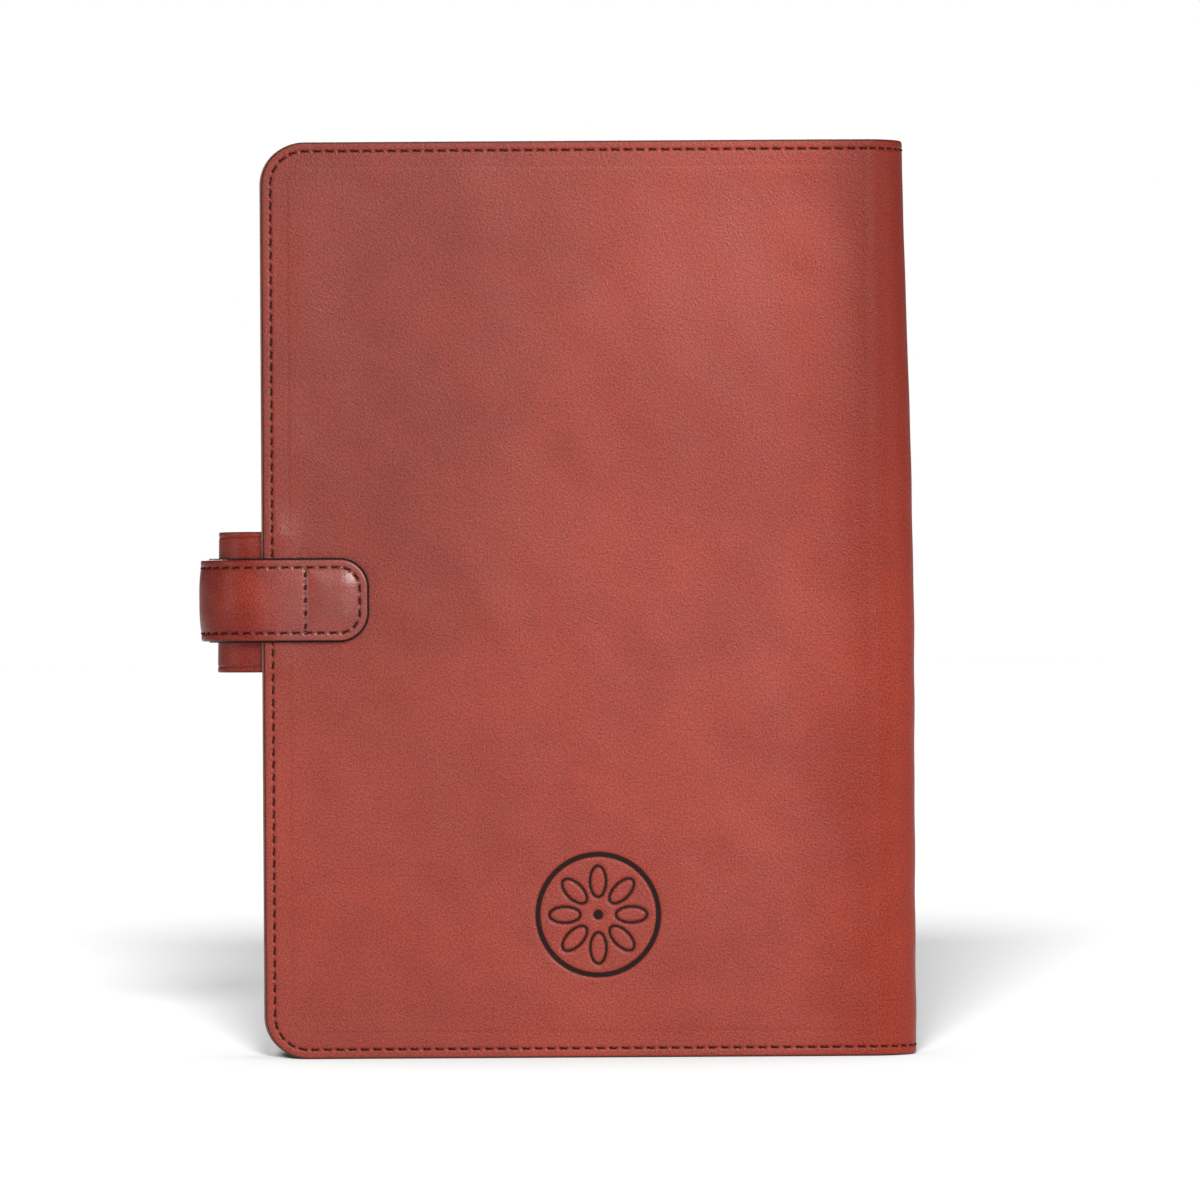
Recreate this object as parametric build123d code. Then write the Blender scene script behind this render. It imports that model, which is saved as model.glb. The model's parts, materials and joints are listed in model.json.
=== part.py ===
from build123d import *

import os

# An A5 leather notebook cover with its refill, closed by a strap and a press stud.
# Frame, in millimetres: +Z up the spine, +X towards the spine, +Y from the back cover to the front cover.
# The origin is on the bottom edge of the back cover's outer face, midway between the free edge and the
# spine's outermost line.

# Driving dimensions: the closed cover
WIDTH = 160.0
HEIGHT = 225.0
THICKNESS = 24.0
CORNER_RADIUS = 10.5

# Sheet thicknesses
LEATHER = 1.6
STIFFENER = 0.6
LINING = 0.8
STRAP_LEATHER = 1.3
STRAP_BACKING = 0.9
LOOP_LEATHER = 1.4
SLEEVE = 1.0
POCKET = 0.9
CARD_SLOT = 0.8

# The strap and its press stud
STRAP_WIDTH = 19.3
STRAP_REACH = 15.2
STRAP_CENTRE_Z = 112.2
STRAP_CORNER = 7.0
STRAP_ROOT_END_X = -54.3
STRAP_TIP_END_X = -43.0
STUD_X = -56.0
STUD_HEIGHT = 2.9
POST_RADIUS = 1.6
CAP_RADIUS = 6.2
CAP_HEIGHT = 1.6
SOCKET_RADIUS = 5.4
FLANGE_RADIUS = 5.0
FLANGE_HEIGHT = 0.5
KNOB_RADIUS = 2.3
KNOB_HEIGHT = 1.6
KNOB_CLEARANCE = 1.0
SOCKET_FLOOR = 0.6

# The pen loop
LOOP_BORE_RADIUS = 7.0
LOOP_LENGTH = 34.6
LOOP_REACH = 10.6
LOOP_TAIL = 7.0

# The refill: an A5 pad on a backing board
REFILL_HEIGHT = 210.0
BOARD_THICKNESS = 1.0
PAGES_THICKNESS = 11.1
CARD_THICKNESS = 0.4
TAPE = 0.3
TAPE_LAP = 12.0

# The card slots, sized for a bank card on its side
CARD_SLOT_X = -68.0
CARD_SLOT_WIDTH = 96.0
CARD_SLOT_LOW_Z = 68.0
CARD_SLOT_STEP = 24.0
CARD_SLOT_LAP = 4.0
THUMB_RADIUS = 9.0

# The pressed emblem near the bottom of the back cover
EMBLEM_X = 1.7
EMBLEM_Z = 35.0
EMBLEM_RADIUS = 15.4
EMBLEM_LINE = 1.2
EMBLEM_DEPTH = 0.3
PETALS = 8
PETAL_LINE = 0.7

# Folds: the spine and the strap each bend at four equally spaced lines
FOLDS = 4
FOLD_ANGLE = 180.0 / FOLDS
FOLD_GAP = 0.3

# Worked out from the dimensions above
FREE_EDGE = -WIDTH / 2
SPINE_RADIUS = THICKNESS / 2
SPINE_X = WIDTH / 2 - SPINE_RADIUS
SPINE_CENTRE = (SPINE_X, SPINE_RADIUS)
STRAP_THICKNESS = STRAP_LEATHER + STRAP_BACKING
STRAP_RADIUS = (THICKNESS + STUD_HEIGHT) / 2 + STRAP_THICKNESS
STRAP_CENTRE = (FREE_EDGE - STRAP_REACH + STRAP_RADIUS, STRAP_RADIUS - STRAP_THICKNESS)
STRAP_INNER_Y = THICKNESS + STUD_HEIGHT
STIFFENER_INSET = 6.6
STIFFENER_SPINE_X = SPINE_X - 4.0
SHEET_GAP = 0.1

LINING_BASE = LEATHER
LINING_FACE = LEATHER + STIFFENER + LINING
LOOP_BASE = LEATHER + LINING
LOOP_RADIUS = LOOP_BORE_RADIUS + LOOP_LEATHER
LOOP_X = FREE_EDGE - LOOP_REACH + LOOP_RADIUS
LOOP_Y = LOOP_BASE + LOOP_RADIUS
LOOP_LOW_Z = STRAP_CENTRE_Z - LOOP_LENGTH / 2

BOARD_BASE = LINING_FACE + SHEET_GAP + TAPE
BOARD_LEFT = FREE_EDGE + 6.2
BOARD_RIGHT = SPINE_X + 2.5
REFILL_LOW_Z = (HEIGHT - REFILL_HEIGHT) / 2
SLEEVE_REACH_X = -20.0
SLEEVE_RISE = BOARD_BASE + BOARD_THICKNESS + SHEET_GAP - LOOP_BASE
PAGES_LEFT = FREE_EDGE + 7.5
PAGES_BASE = LOOP_BASE + SLEEVE_RISE + SLEEVE + SHEET_GAP
PAGES_TRIM = 2.0
PAGES_TOP = PAGES_BASE + PAGES_THICKNESS


def rectangle(x_low, x_high, z_low, z_high):
    """A plain rectangle in X and Z."""
    centre = Pos((x_low + x_high) / 2, (z_low + z_high) / 2)
    return centre * Rectangle(x_high - x_low, z_high - z_low)


def rounded_at(outline, end, radius):
    """The outline with the two corners at its low-X (0) or high-X (-1) end rounded."""
    return fillet(outline.vertices().group_by(Axis.X)[end], radius)


def panel(inset, x_high):
    """The cover's outline, moved in from its three free edges, as far as x_high towards the spine."""
    outline = rectangle(FREE_EDGE + inset, x_high, inset, HEIGHT - inset)
    return rounded_at(outline, 0, CORNER_RADIUS - inset)


def layer(outline, y_low, y_high):
    """A flat sheet: an outline in X and Z, filled between two depths."""
    return Pos(0, y_high, 0) * extrude(Plane.XZ * outline, y_high - y_low)


def draped(outline, base, thickness, core, rise):
    """A sheet that lies flat at its rim and steps up over a flat core laid under it."""
    bump = offset(core, thickness, kind=Kind.INTERSECTION) & outline
    sheet = layer(outline, base, base + thickness) + layer(bump, base, base + rise + thickness)
    return sheet - layer(core, base, base + rise)


def to_front(solid):
    """The same part on the other cover, mirrored through the middle of the thickness."""
    return mirror(solid, Plane.XZ.offset(-THICKNESS / 2))


def bend(centre, side, outer_radius, thickness, start, end, z_low, z_high):
    """Part of a curved sheet. Angles run from the back (0) to the front (180), round the +X or -X side."""
    inner_radius = outer_radius - thickness
    first = -90 + side * start
    sweep = side * (end - start)
    outer = CenterArc(centre, outer_radius, first, sweep)
    inner = CenterArc(centre, inner_radius, first, sweep)
    sides = [Line(outer @ 0, inner @ 0), Line(outer @ 1, inner @ 1)]
    return Pos(0, 0, z_low) * extrude(make_face([outer, inner] + sides), z_high - z_low)


def spine_bend(depth, thickness, start, end):
    """Part of the rounded spine, starting at a depth below its outer surface."""
    return bend(SPINE_CENTRE, 1, SPINE_RADIUS - depth, thickness, start, end, 0, HEIGHT)


def strap_bend(depth, thickness, start, end):
    """Part of the strap where it wraps the free edge."""
    low = STRAP_CENTRE_Z - STRAP_WIDTH / 2
    return bend(STRAP_CENTRE, -1, STRAP_RADIUS - depth, thickness, start, end, low, low + STRAP_WIDTH)


def rod(radius, x, z, y_low, y_high):
    """A round bar along Y."""
    return layer(Pos(x, z) * Circle(radius), y_low, y_high)


FIRST_BEND = (0, FOLD_ANGLE / 2 - FOLD_GAP)
LAST_BEND = (180 - FOLD_ANGLE / 2 + FOLD_GAP, 180)


def strip_bend(number):
    """Start and end angle of the strip between two neighbouring folds."""
    start = FOLD_ANGLE * (number - 0.5)
    return start + FOLD_GAP, start + FOLD_ANGLE - FOLD_GAP


def plain_leather():
    """The outer leather of one cover, with its share of the spine, as the back cover has it."""
    return layer(panel(0, SPINE_X), 0, LEATHER) + spine_bend(0, LEATHER, *FIRST_BEND)


def petal(number):
    """The outline of one petal of the emblem's rosette, as a flat line of even width."""
    length, width = EMBLEM_RADIUS * 0.27, EMBLEM_RADIUS * 0.15
    outline = Ellipse(width, length) - Ellipse(width - PETAL_LINE, length - PETAL_LINE)
    return Rot(0, 0, number * 360 / PETALS) * Pos(0, EMBLEM_RADIUS * 0.53) * outline


def emblem():
    """The pressed emblem: a ring round a rosette of outlined petals."""
    mark = Circle(EMBLEM_RADIUS) - Circle(EMBLEM_RADIUS - EMBLEM_LINE) + Circle(EMBLEM_LINE)
    for number in range(PETALS):
        mark += petal(number)
    return layer(Pos(EMBLEM_X, EMBLEM_Z) * mark, 0, EMBLEM_DEPTH)


def stiffener():
    """The board between the leather and the lining."""
    return layer(panel(STIFFENER_INSET, STIFFENER_SPINE_X), LEATHER, LEATHER + STIFFENER)


def lining():
    """The lining of one cover, sewn down at the rim and raised over the stiffener."""
    core = panel(STIFFENER_INSET - SHEET_GAP, STIFFENER_SPINE_X + SHEET_GAP)
    flat = draped(panel(0, SPINE_X), LINING_BASE, LINING, core, STIFFENER)
    return flat + spine_bend(LEATHER, LINING, *FIRST_BEND)


def sleeve():
    """The inner flap on the back cover that the refill's backing board slides into."""
    outline = panel(0, SLEEVE_REACH_X)
    board = rectangle(BOARD_LEFT - SHEET_GAP, SLEEVE_REACH_X, REFILL_LOW_Z - SHEET_GAP,
                      HEIGHT - REFILL_LOW_Z + SHEET_GAP)
    raised_lining = offset(panel(STIFFENER_INSET - SHEET_GAP, STIFFENER_SPINE_X), LINING,
                           kind=Kind.INTERSECTION) & outline
    flap = draped(outline, LOOP_BASE, SLEEVE, board, SLEEVE_RISE)
    flap -= layer(raised_lining, LOOP_BASE, LINING_FACE)
    notch = rectangle(FREE_EDGE, LOOP_X + LOOP_TAIL + SHEET_GAP, LOOP_LOW_Z - SHEET_GAP,
                      LOOP_LOW_Z + LOOP_LENGTH + SHEET_GAP)
    return flap - layer(notch, LOOP_BASE, LOOP_BASE + LOOP_LEATHER + SHEET_GAP)


def pen_loop():
    """A leather band rolled into a tube, its tail sewn under the sleeve."""
    tube = Circle(LOOP_RADIUS) - Circle(LOOP_BORE_RADIUS)
    tail = Pos(LOOP_TAIL / 2, -LOOP_RADIUS + LOOP_LEATHER / 2) * Rectangle(LOOP_TAIL, LOOP_LEATHER)
    outline = Pos(LOOP_X, LOOP_Y) * (tube + tail)
    return Pos(0, 0, LOOP_LOW_Z) * extrude(outline, LOOP_LENGTH)


def strap_outline(x_end):
    """The flat end of the strap, from where the wrap starts to its rounded end."""
    low = STRAP_CENTRE_Z - STRAP_WIDTH / 2
    return rounded_at(rectangle(STRAP_CENTRE[0], x_end, low, low + STRAP_WIDTH), -1, STRAP_CORNER)


def strap_root(depth, thickness):
    """One sheet of the strap's fixed end, sewn to the back cover and trimmed where it leaves its edge."""
    outer = depth - STRAP_THICKNESS
    flat = layer(strap_outline(STRAP_ROOT_END_X), outer, outer + thickness)
    return flat + strap_bend(depth, thickness, *FIRST_BEND) - layer(panel(0, SPINE_X), 0, LEATHER)


def strap_tip(depth, thickness):
    """One sheet of the strap's loose end, with the hole for the cap's post."""
    outer = STRAP_INNER_Y + STRAP_THICKNESS - depth
    flat = layer(strap_outline(STRAP_TIP_END_X), outer - thickness, outer)
    hole = rod(POST_RADIUS + SHEET_GAP, STUD_X, STRAP_CENTRE_Z, outer - thickness, outer)
    return flat + strap_bend(depth, thickness, *LAST_BEND) - hole


def snap_cap():
    """The domed cap on the strap's outer face, with its post through the strap."""
    face = STRAP_INNER_Y + STRAP_THICKNESS
    disc = rod(CAP_RADIUS, STUD_X, STRAP_CENTRE_Z, face, face + CAP_HEIGHT)
    dome = fillet(disc.edges().group_by(Axis.Y)[-1], CAP_HEIGHT * 0.8)
    return dome + rod(POST_RADIUS, STUD_X, STRAP_CENTRE_Z, STRAP_INNER_Y, face)


def snap_socket():
    """The socket under the strap, closed at the top and open towards the stud."""
    mouth = THICKNESS + FLANGE_HEIGHT + SHEET_GAP
    floor = STRAP_INNER_Y - SOCKET_FLOOR
    body = rod(SOCKET_RADIUS, STUD_X, STRAP_CENTRE_Z, mouth, STRAP_INNER_Y)
    return body - rod(KNOB_RADIUS + KNOB_CLEARANCE, STUD_X, STRAP_CENTRE_Z, mouth, floor)


def snap_stud():
    """The stud on the front cover: a flange and a rounded knob."""
    seat = THICKNESS + FLANGE_HEIGHT
    knob = rod(KNOB_RADIUS, STUD_X, STRAP_CENTRE_Z, seat, seat + KNOB_HEIGHT)
    rounded_knob = fillet(knob.edges().group_by(Axis.Y)[-1], KNOB_RADIUS * 0.3)
    return rod(FLANGE_RADIUS, STUD_X, STRAP_CENTRE_Z, THICKNESS, seat) + rounded_knob


def snap_post():
    """The rivet behind the stud: a post through the leather and a flat head in the stiffener's hole."""
    inner = THICKNESS - LEATHER
    head = rod(FLANGE_RADIUS, STUD_X, STRAP_CENTRE_Z, inner - STIFFENER, inner)
    return head + rod(POST_RADIUS, STUD_X, STRAP_CENTRE_Z, inner, THICKNESS)


def front_pocket():
    """The flat pocket on the inside of the front cover, over the raised lining."""
    base = THICKNESS - LINING_FACE
    raised = offset(panel(STIFFENER_INSET - SHEET_GAP, STIFFENER_SPINE_X), LINING, kind=Kind.INTERSECTION)
    outline = panel(0, SPINE_X - 6)
    top = layer(outline, base - POCKET, base)
    rim = layer(outline - raised, base, base + LINING_FACE - LOOP_BASE)
    return top + rim


def card_slot_sheet(z_low, z_high, depth):
    """A rectangle of card-slot leather, lying a depth above the pocket."""
    base = THICKNESS - LINING_FACE - POCKET - depth
    outline = rectangle(CARD_SLOT_X, CARD_SLOT_X + CARD_SLOT_WIDTH, z_low, z_high)
    return layer(outline, base - CARD_SLOT, base)


def thumb_notch(z_top):
    """The round notch in a card slot's top edge, cut through both layers."""
    base = THICKNESS - LINING_FACE - POCKET
    return rod(THUMB_RADIUS, CARD_SLOT_X + CARD_SLOT_WIDTH / 2, z_top + 2, base - 2 * CARD_SLOT, base)


def card_slots():
    """Two card slots on the front pocket: the lower one laps over the foot of the upper one."""
    foot = CARD_SLOT_LOW_Z + 2 * CARD_SLOT_STEP
    upper_top = foot + 2 * CARD_SLOT_STEP
    lower_top = foot + CARD_SLOT_STEP
    upper = card_slot_sheet(foot, upper_top, 0) - thumb_notch(upper_top)
    lap = card_slot_sheet(foot - CARD_SLOT_LAP, lower_top, CARD_SLOT) - thumb_notch(lower_top)
    return upper, card_slot_sheet(CARD_SLOT_LOW_Z, foot - SHEET_GAP, 0) + lap


def binding_tape():
    """The cloth tape that holds the backing board, the pages and the top card together at the spine."""
    low, high = BOARD_BASE - TAPE, PAGES_TOP + CARD_THICKNESS + TAPE
    outline = Pos(BOARD_RIGHT - TAPE_LAP / 4, low + TAPE / 2) * Rectangle(TAPE_LAP / 2, TAPE)
    outline += Pos(BOARD_RIGHT - TAPE_LAP / 2, high - TAPE / 2) * Rectangle(TAPE_LAP, TAPE)
    outline += Pos(BOARD_RIGHT + TAPE / 2, (low + high) / 2) * Rectangle(TAPE, high - low)
    return Pos(0, 0, REFILL_LOW_Z) * extrude(outline, REFILL_HEIGHT)


def build_parts():
    """Every node by name."""
    strap_depths = (("leather", 0, STRAP_LEATHER), ("backing", STRAP_LEATHER, STRAP_BACKING))
    spine_depths = (("leather", 0, LEATHER), ("lining", LEATHER, LINING))
    upper_slot, lower_slot = card_slots()
    pages = rectangle(PAGES_LEFT, BOARD_RIGHT, REFILL_LOW_Z + PAGES_TRIM, HEIGHT - REFILL_LOW_Z - PAGES_TRIM)
    board = rectangle(BOARD_LEFT, BOARD_RIGHT, REFILL_LOW_Z, HEIGHT - REFILL_LOW_Z)
    inner = THICKNESS - LEATHER
    post_hole = rod(POST_RADIUS + SHEET_GAP, STUD_X, STRAP_CENTRE_Z, inner, THICKNESS)
    head_hole = rod(FLANGE_RADIUS + SHEET_GAP, STUD_X, STRAP_CENTRE_Z, inner - STIFFENER, inner)
    parts = {
        "back_leather": plain_leather() - emblem(),
        "back_stiffener": stiffener(),
        "back_lining": lining(),
        "back_sleeve": sleeve(),
        "pen_loop": pen_loop(),
        "refill_board": layer(board, BOARD_BASE, BOARD_BASE + BOARD_THICKNESS),
        "page_block": layer(pages, PAGES_BASE, PAGES_TOP),
        "refill_top_card": layer(pages, PAGES_TOP, PAGES_TOP + CARD_THICKNESS),
        "binding_tape": binding_tape(),
        "front_leather": to_front(plain_leather()) - post_hole,
        "front_stiffener": to_front(stiffener()) - head_hole,
        "front_lining": to_front(lining()),
        "front_pocket": front_pocket(),
        "card_slot_upper": upper_slot,
        "card_slot_lower": lower_slot,
        "snap_cap": snap_cap(),
        "snap_socket": snap_socket(),
        "snap_stud": snap_stud(),
        "snap_post": snap_post(),
    }
    for sheet, depth, thickness in spine_depths:
        for number in range(1, FOLDS):
            parts[f"spine_{sheet}_{number}"] = spine_bend(depth, thickness, *strip_bend(number))
    for sheet, depth, thickness in strap_depths:
        parts[f"strap_root_{sheet}"] = strap_root(depth, thickness)
        parts[f"strap_tip_{sheet}"] = strap_tip(depth, thickness)
        for number in range(1, FOLDS):
            parts[f"strap_{sheet}_{number}"] = strap_bend(depth, thickness, *strip_bend(number))
    return parts


os.makedirs("parts", exist_ok=True)
for name, part in build_parts().items():
    export_step(part, f"parts/{name}.step")
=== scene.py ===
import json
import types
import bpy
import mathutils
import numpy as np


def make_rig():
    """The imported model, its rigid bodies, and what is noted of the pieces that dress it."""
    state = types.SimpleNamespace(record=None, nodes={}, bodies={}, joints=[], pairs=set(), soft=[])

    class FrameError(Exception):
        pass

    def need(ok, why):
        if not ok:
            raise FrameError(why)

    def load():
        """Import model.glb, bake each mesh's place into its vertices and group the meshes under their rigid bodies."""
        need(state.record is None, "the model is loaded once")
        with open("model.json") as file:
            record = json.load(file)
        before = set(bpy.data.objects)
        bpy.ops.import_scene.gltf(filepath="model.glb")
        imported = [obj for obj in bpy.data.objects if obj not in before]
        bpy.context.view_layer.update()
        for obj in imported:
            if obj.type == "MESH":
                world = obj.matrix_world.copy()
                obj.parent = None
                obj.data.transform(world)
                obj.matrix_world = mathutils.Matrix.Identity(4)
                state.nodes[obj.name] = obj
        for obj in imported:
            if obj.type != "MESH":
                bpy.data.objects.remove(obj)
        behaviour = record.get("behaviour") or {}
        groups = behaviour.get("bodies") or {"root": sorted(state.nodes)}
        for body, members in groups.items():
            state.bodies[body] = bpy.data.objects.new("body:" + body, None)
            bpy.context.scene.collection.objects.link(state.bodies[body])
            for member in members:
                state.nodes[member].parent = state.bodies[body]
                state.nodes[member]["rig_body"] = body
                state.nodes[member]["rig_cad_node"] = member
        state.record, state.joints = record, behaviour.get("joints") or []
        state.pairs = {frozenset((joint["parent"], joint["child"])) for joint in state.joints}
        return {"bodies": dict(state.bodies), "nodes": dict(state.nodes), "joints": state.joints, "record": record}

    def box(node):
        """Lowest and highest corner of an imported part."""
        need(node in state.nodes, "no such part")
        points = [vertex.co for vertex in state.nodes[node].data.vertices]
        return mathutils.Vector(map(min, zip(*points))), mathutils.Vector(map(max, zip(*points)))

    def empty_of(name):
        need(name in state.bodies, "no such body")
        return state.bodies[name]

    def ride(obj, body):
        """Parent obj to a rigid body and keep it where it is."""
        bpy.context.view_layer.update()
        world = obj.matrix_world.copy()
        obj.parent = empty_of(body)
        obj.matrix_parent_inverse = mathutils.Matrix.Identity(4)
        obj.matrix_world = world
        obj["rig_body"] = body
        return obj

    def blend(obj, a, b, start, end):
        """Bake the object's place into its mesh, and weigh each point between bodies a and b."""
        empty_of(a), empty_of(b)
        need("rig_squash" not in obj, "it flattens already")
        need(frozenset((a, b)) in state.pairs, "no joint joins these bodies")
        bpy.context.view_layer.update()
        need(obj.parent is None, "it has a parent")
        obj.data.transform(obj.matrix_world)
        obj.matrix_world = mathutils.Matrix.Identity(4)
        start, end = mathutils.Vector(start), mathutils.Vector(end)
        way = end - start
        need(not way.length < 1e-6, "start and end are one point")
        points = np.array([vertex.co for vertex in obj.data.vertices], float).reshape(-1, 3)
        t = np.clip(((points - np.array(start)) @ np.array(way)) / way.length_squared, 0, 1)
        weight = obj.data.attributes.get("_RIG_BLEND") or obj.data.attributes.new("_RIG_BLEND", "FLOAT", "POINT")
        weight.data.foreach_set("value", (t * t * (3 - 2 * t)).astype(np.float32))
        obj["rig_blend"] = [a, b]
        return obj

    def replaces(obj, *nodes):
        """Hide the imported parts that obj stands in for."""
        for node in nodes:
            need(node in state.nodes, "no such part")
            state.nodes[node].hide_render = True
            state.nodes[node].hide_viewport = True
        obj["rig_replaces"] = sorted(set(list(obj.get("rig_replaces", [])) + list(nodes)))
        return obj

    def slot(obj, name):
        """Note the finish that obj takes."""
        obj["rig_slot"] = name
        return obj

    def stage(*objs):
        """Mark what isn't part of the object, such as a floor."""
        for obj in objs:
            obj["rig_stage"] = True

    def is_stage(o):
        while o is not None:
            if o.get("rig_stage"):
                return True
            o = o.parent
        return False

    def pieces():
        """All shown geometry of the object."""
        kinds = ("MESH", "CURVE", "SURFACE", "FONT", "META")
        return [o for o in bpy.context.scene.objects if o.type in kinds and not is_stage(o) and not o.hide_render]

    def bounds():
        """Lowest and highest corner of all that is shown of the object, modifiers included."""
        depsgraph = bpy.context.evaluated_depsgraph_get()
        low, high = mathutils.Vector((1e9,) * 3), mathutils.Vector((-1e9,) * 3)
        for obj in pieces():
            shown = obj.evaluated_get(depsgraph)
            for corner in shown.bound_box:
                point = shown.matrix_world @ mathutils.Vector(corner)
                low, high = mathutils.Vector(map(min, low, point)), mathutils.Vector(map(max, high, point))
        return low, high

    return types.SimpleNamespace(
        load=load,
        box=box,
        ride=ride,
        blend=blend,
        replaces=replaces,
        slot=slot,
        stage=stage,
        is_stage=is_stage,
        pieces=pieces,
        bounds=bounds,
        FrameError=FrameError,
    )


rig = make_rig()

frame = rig.load()
CAD_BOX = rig.bounds()

import json
import math

import bmesh
import bpy
import numpy as np
from mathutils import Matrix, Vector
from mathutils.geometry import delaunay_2d_cdt

# The looks of an A5 leather notebook cover. Lengths are in millimetres until a mesh is made.
# Sheets are modelled in flat coordinates: s runs along a sheet, z is height, and depth is measured
# inwards from the sheet's outer face. A Wrap bends them round the spine or round the free edge.

MM = 0.001
rng = np.random.default_rng(7)


# ---------------------------------------------------------------- dimensions from the frame

def box_mm(node):
    """Lowest and highest corner of a CAD node, in millimetres."""
    low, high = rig.box(node)
    return np.array(low) / MM, np.array(high) / MM


def pivot(name):
    """A joint's place, in millimetres."""
    joint = next(j for j in frame["joints"] if j["name"] == name)
    return np.array(joint["pos_m"]) / MM


# The spine and the strap each bend at four folds, between five bodies.
FOLDS = 4
HALF_FOLD = math.pi / (2 * FOLDS)
SPINE_CHAIN = ["back_cover", "spine_strip_1", "spine_strip_2", "spine_strip_3", "front_cover"]
STRAP_CHAIN = ["back_cover", "strap_strip_1", "strap_strip_2", "strap_strip_3", "strap_tip"]

# The cover: outer leather, a board on each side, and a lining.
back_low, back_high = box_mm("back_leather")
FREE_X, HEIGHT = back_low[0], back_high[2]
THICKNESS = box_mm("front_leather")[1][1]
LEATHER = box_mm("back_stiffener")[0][1]
LINING = box_mm("back_lining")[1][1] - box_mm("back_stiffener")[1][1]
LINING_FACE = box_mm("back_stiffener")[1][1] + LINING
LINING_LIP = 0.45
CORNER = 10.5
SPINE_RADIUS = THICKNESS / 2
SPINE_X = pivot("spine_fold_1")[0] - SPINE_RADIUS * math.sin(HALF_FOLD)
# The spine narrows by PINCH, starting at the lower of these heights and complete at the upper one.
PINCH = 2.3
PINCH_HEIGHTS = (115.0, 235.0)

# The strap, which spreads this much above the CAD strap's upper edge.
STRAP_SPREAD = 0.8
strap_low, strap_high = box_mm("strap_root_leather")
strap_high = strap_high + np.array([0.0, 0.0, STRAP_SPREAD])
tip_high = box_mm("strap_tip_leather")[1]
STRAP_RADIUS = (pivot("strap_open")[1] - pivot("strap_fold_1")[1]) / 2 / math.cos(HALF_FOLD)
STRAP_TURN_X = pivot("strap_fold_1")[0] + STRAP_RADIUS * math.sin(HALF_FOLD)
STUD_CENTRE = (box_mm("snap_stud")[0] + box_mm("snap_stud")[1]) / 2
STRAP_LEATHER = 1.3
STRAP_THICKNESS = -strap_low[1]
STRAP_CORNER = 7.0
MID_Z = (strap_low[2] + strap_high[2]) / 2

# Stitches, a little askew, and the dents that they pull into the leather.
STITCH_PITCH, STITCH_LENGTH = 3.05, 1.65
STITCH_TILT = math.tan(math.radians(10))
THREAD_RADIUS = 0.16
COVER_STITCH_INSET = 2.25
STRAP_STITCH_INSET = 2.0
# The dye on a cut edge is solid to the first of these distances from it, and ends at the second.
DYE_SOLID, DYE_END = 0.10, 0.42
# Each stitch has a needle hole at both ends, this share of a pitch from its middle.
HOLE_AT, HOLE_WIDTH, DEEPEST_DENT = 0.27, 0.34, 0.42
# The pressed emblem on the back cover: a ring, petals round the middle, and a dot.
EMBLEM_X, EMBLEM_Z, EMBLEM_RADIUS = 1.7, 35.0, 15.4
RING_HALF, LINE_HALF, DOT_RADIUS = 0.6, 0.35, 1.2
PETALS, PETAL_CENTRE = 8, EMBLEM_RADIUS * 0.53
PETAL_WIDE, PETAL_LONG = EMBLEM_RADIUS * 0.15 - LINE_HALF, EMBLEM_RADIUS * 0.27 - LINE_HALF


# ---------------------------------------------------------------- small helpers

def smooth(low, high, value):
    """0 below low, 1 above high, and a smooth step between."""
    t = np.clip((value - low) / (high - low), 0, 1)
    return t * t * (3 - 2 * t)


def bell(value, width):
    """A bell curve that is 1 at zero."""
    return np.exp(-(value / width) ** 2)


def rise(value, reach):
    """0 up to zero, then steep and easing off to 1 at the reach."""
    return 1 - (1 - np.clip(value / reach, 0, 1)) ** 2


class Waves:
    """A smooth random height field, the same on every run: a sum of plane waves of about one length."""

    def __init__(self, length, count=14):
        angles = rng.uniform(0, 2 * math.pi, count)
        numbers = 2 * math.pi / (length * rng.uniform(0.7, 1.4, count))
        self.kx, self.ky = numbers * np.cos(angles), numbers * np.sin(angles)
        self.phase = rng.uniform(0, 2 * math.pi, count)

    def __call__(self, s, z):
        total = np.zeros(np.broadcast(s, z).shape)
        for kx, ky, phase in zip(self.kx, self.ky, self.phase):
            total = total + np.sin(kx * s + ky * z + phase)
        return total / math.sqrt(len(self.phase) / 2)


class Wrap:
    """A sheet that runs flat, turns half round, and runs flat back again."""

    def __init__(self, start_x, turn_x, outer_y, radius, pinch=0.0):
        self.turn_x, self.outer_y, self.radius, self.pinch = turn_x, outer_y, radius, pinch
        self.side = 1 if turn_x > start_x else -1
        self.flat = abs(turn_x - start_x)
        self.arc = math.pi * radius

    def place(self, s, z, depth):
        """Points in the shared frame for flat coordinates, as an array with a last axis of three."""
        s, z, depth = np.broadcast_arrays(*[np.asarray(a, float) for a in (s, z, depth)])
        angle = np.clip((s - self.flat) / self.radius, 0, math.pi)
        centre_y = self.outer_y + self.radius
        run = np.where(s < self.flat, s - self.flat, -np.maximum(s - self.flat - self.arc, 0))
        narrow = 1 - self.pinch / self.radius * smooth(*PINCH_HEIGHTS, z)
        x = self.turn_x + self.side * (run + (self.radius - depth) * np.sin(angle) * narrow)
        y = centre_y - (self.radius - depth) * np.cos(angle)
        return np.stack([x, y, z], -1)

    def at_x(self, x, far=False):
        """The s of a place on the first flat stretch, or on the last one."""
        distance = abs(self.turn_x - x)
        return self.flat + self.arc + distance if far else self.flat - distance


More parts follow.
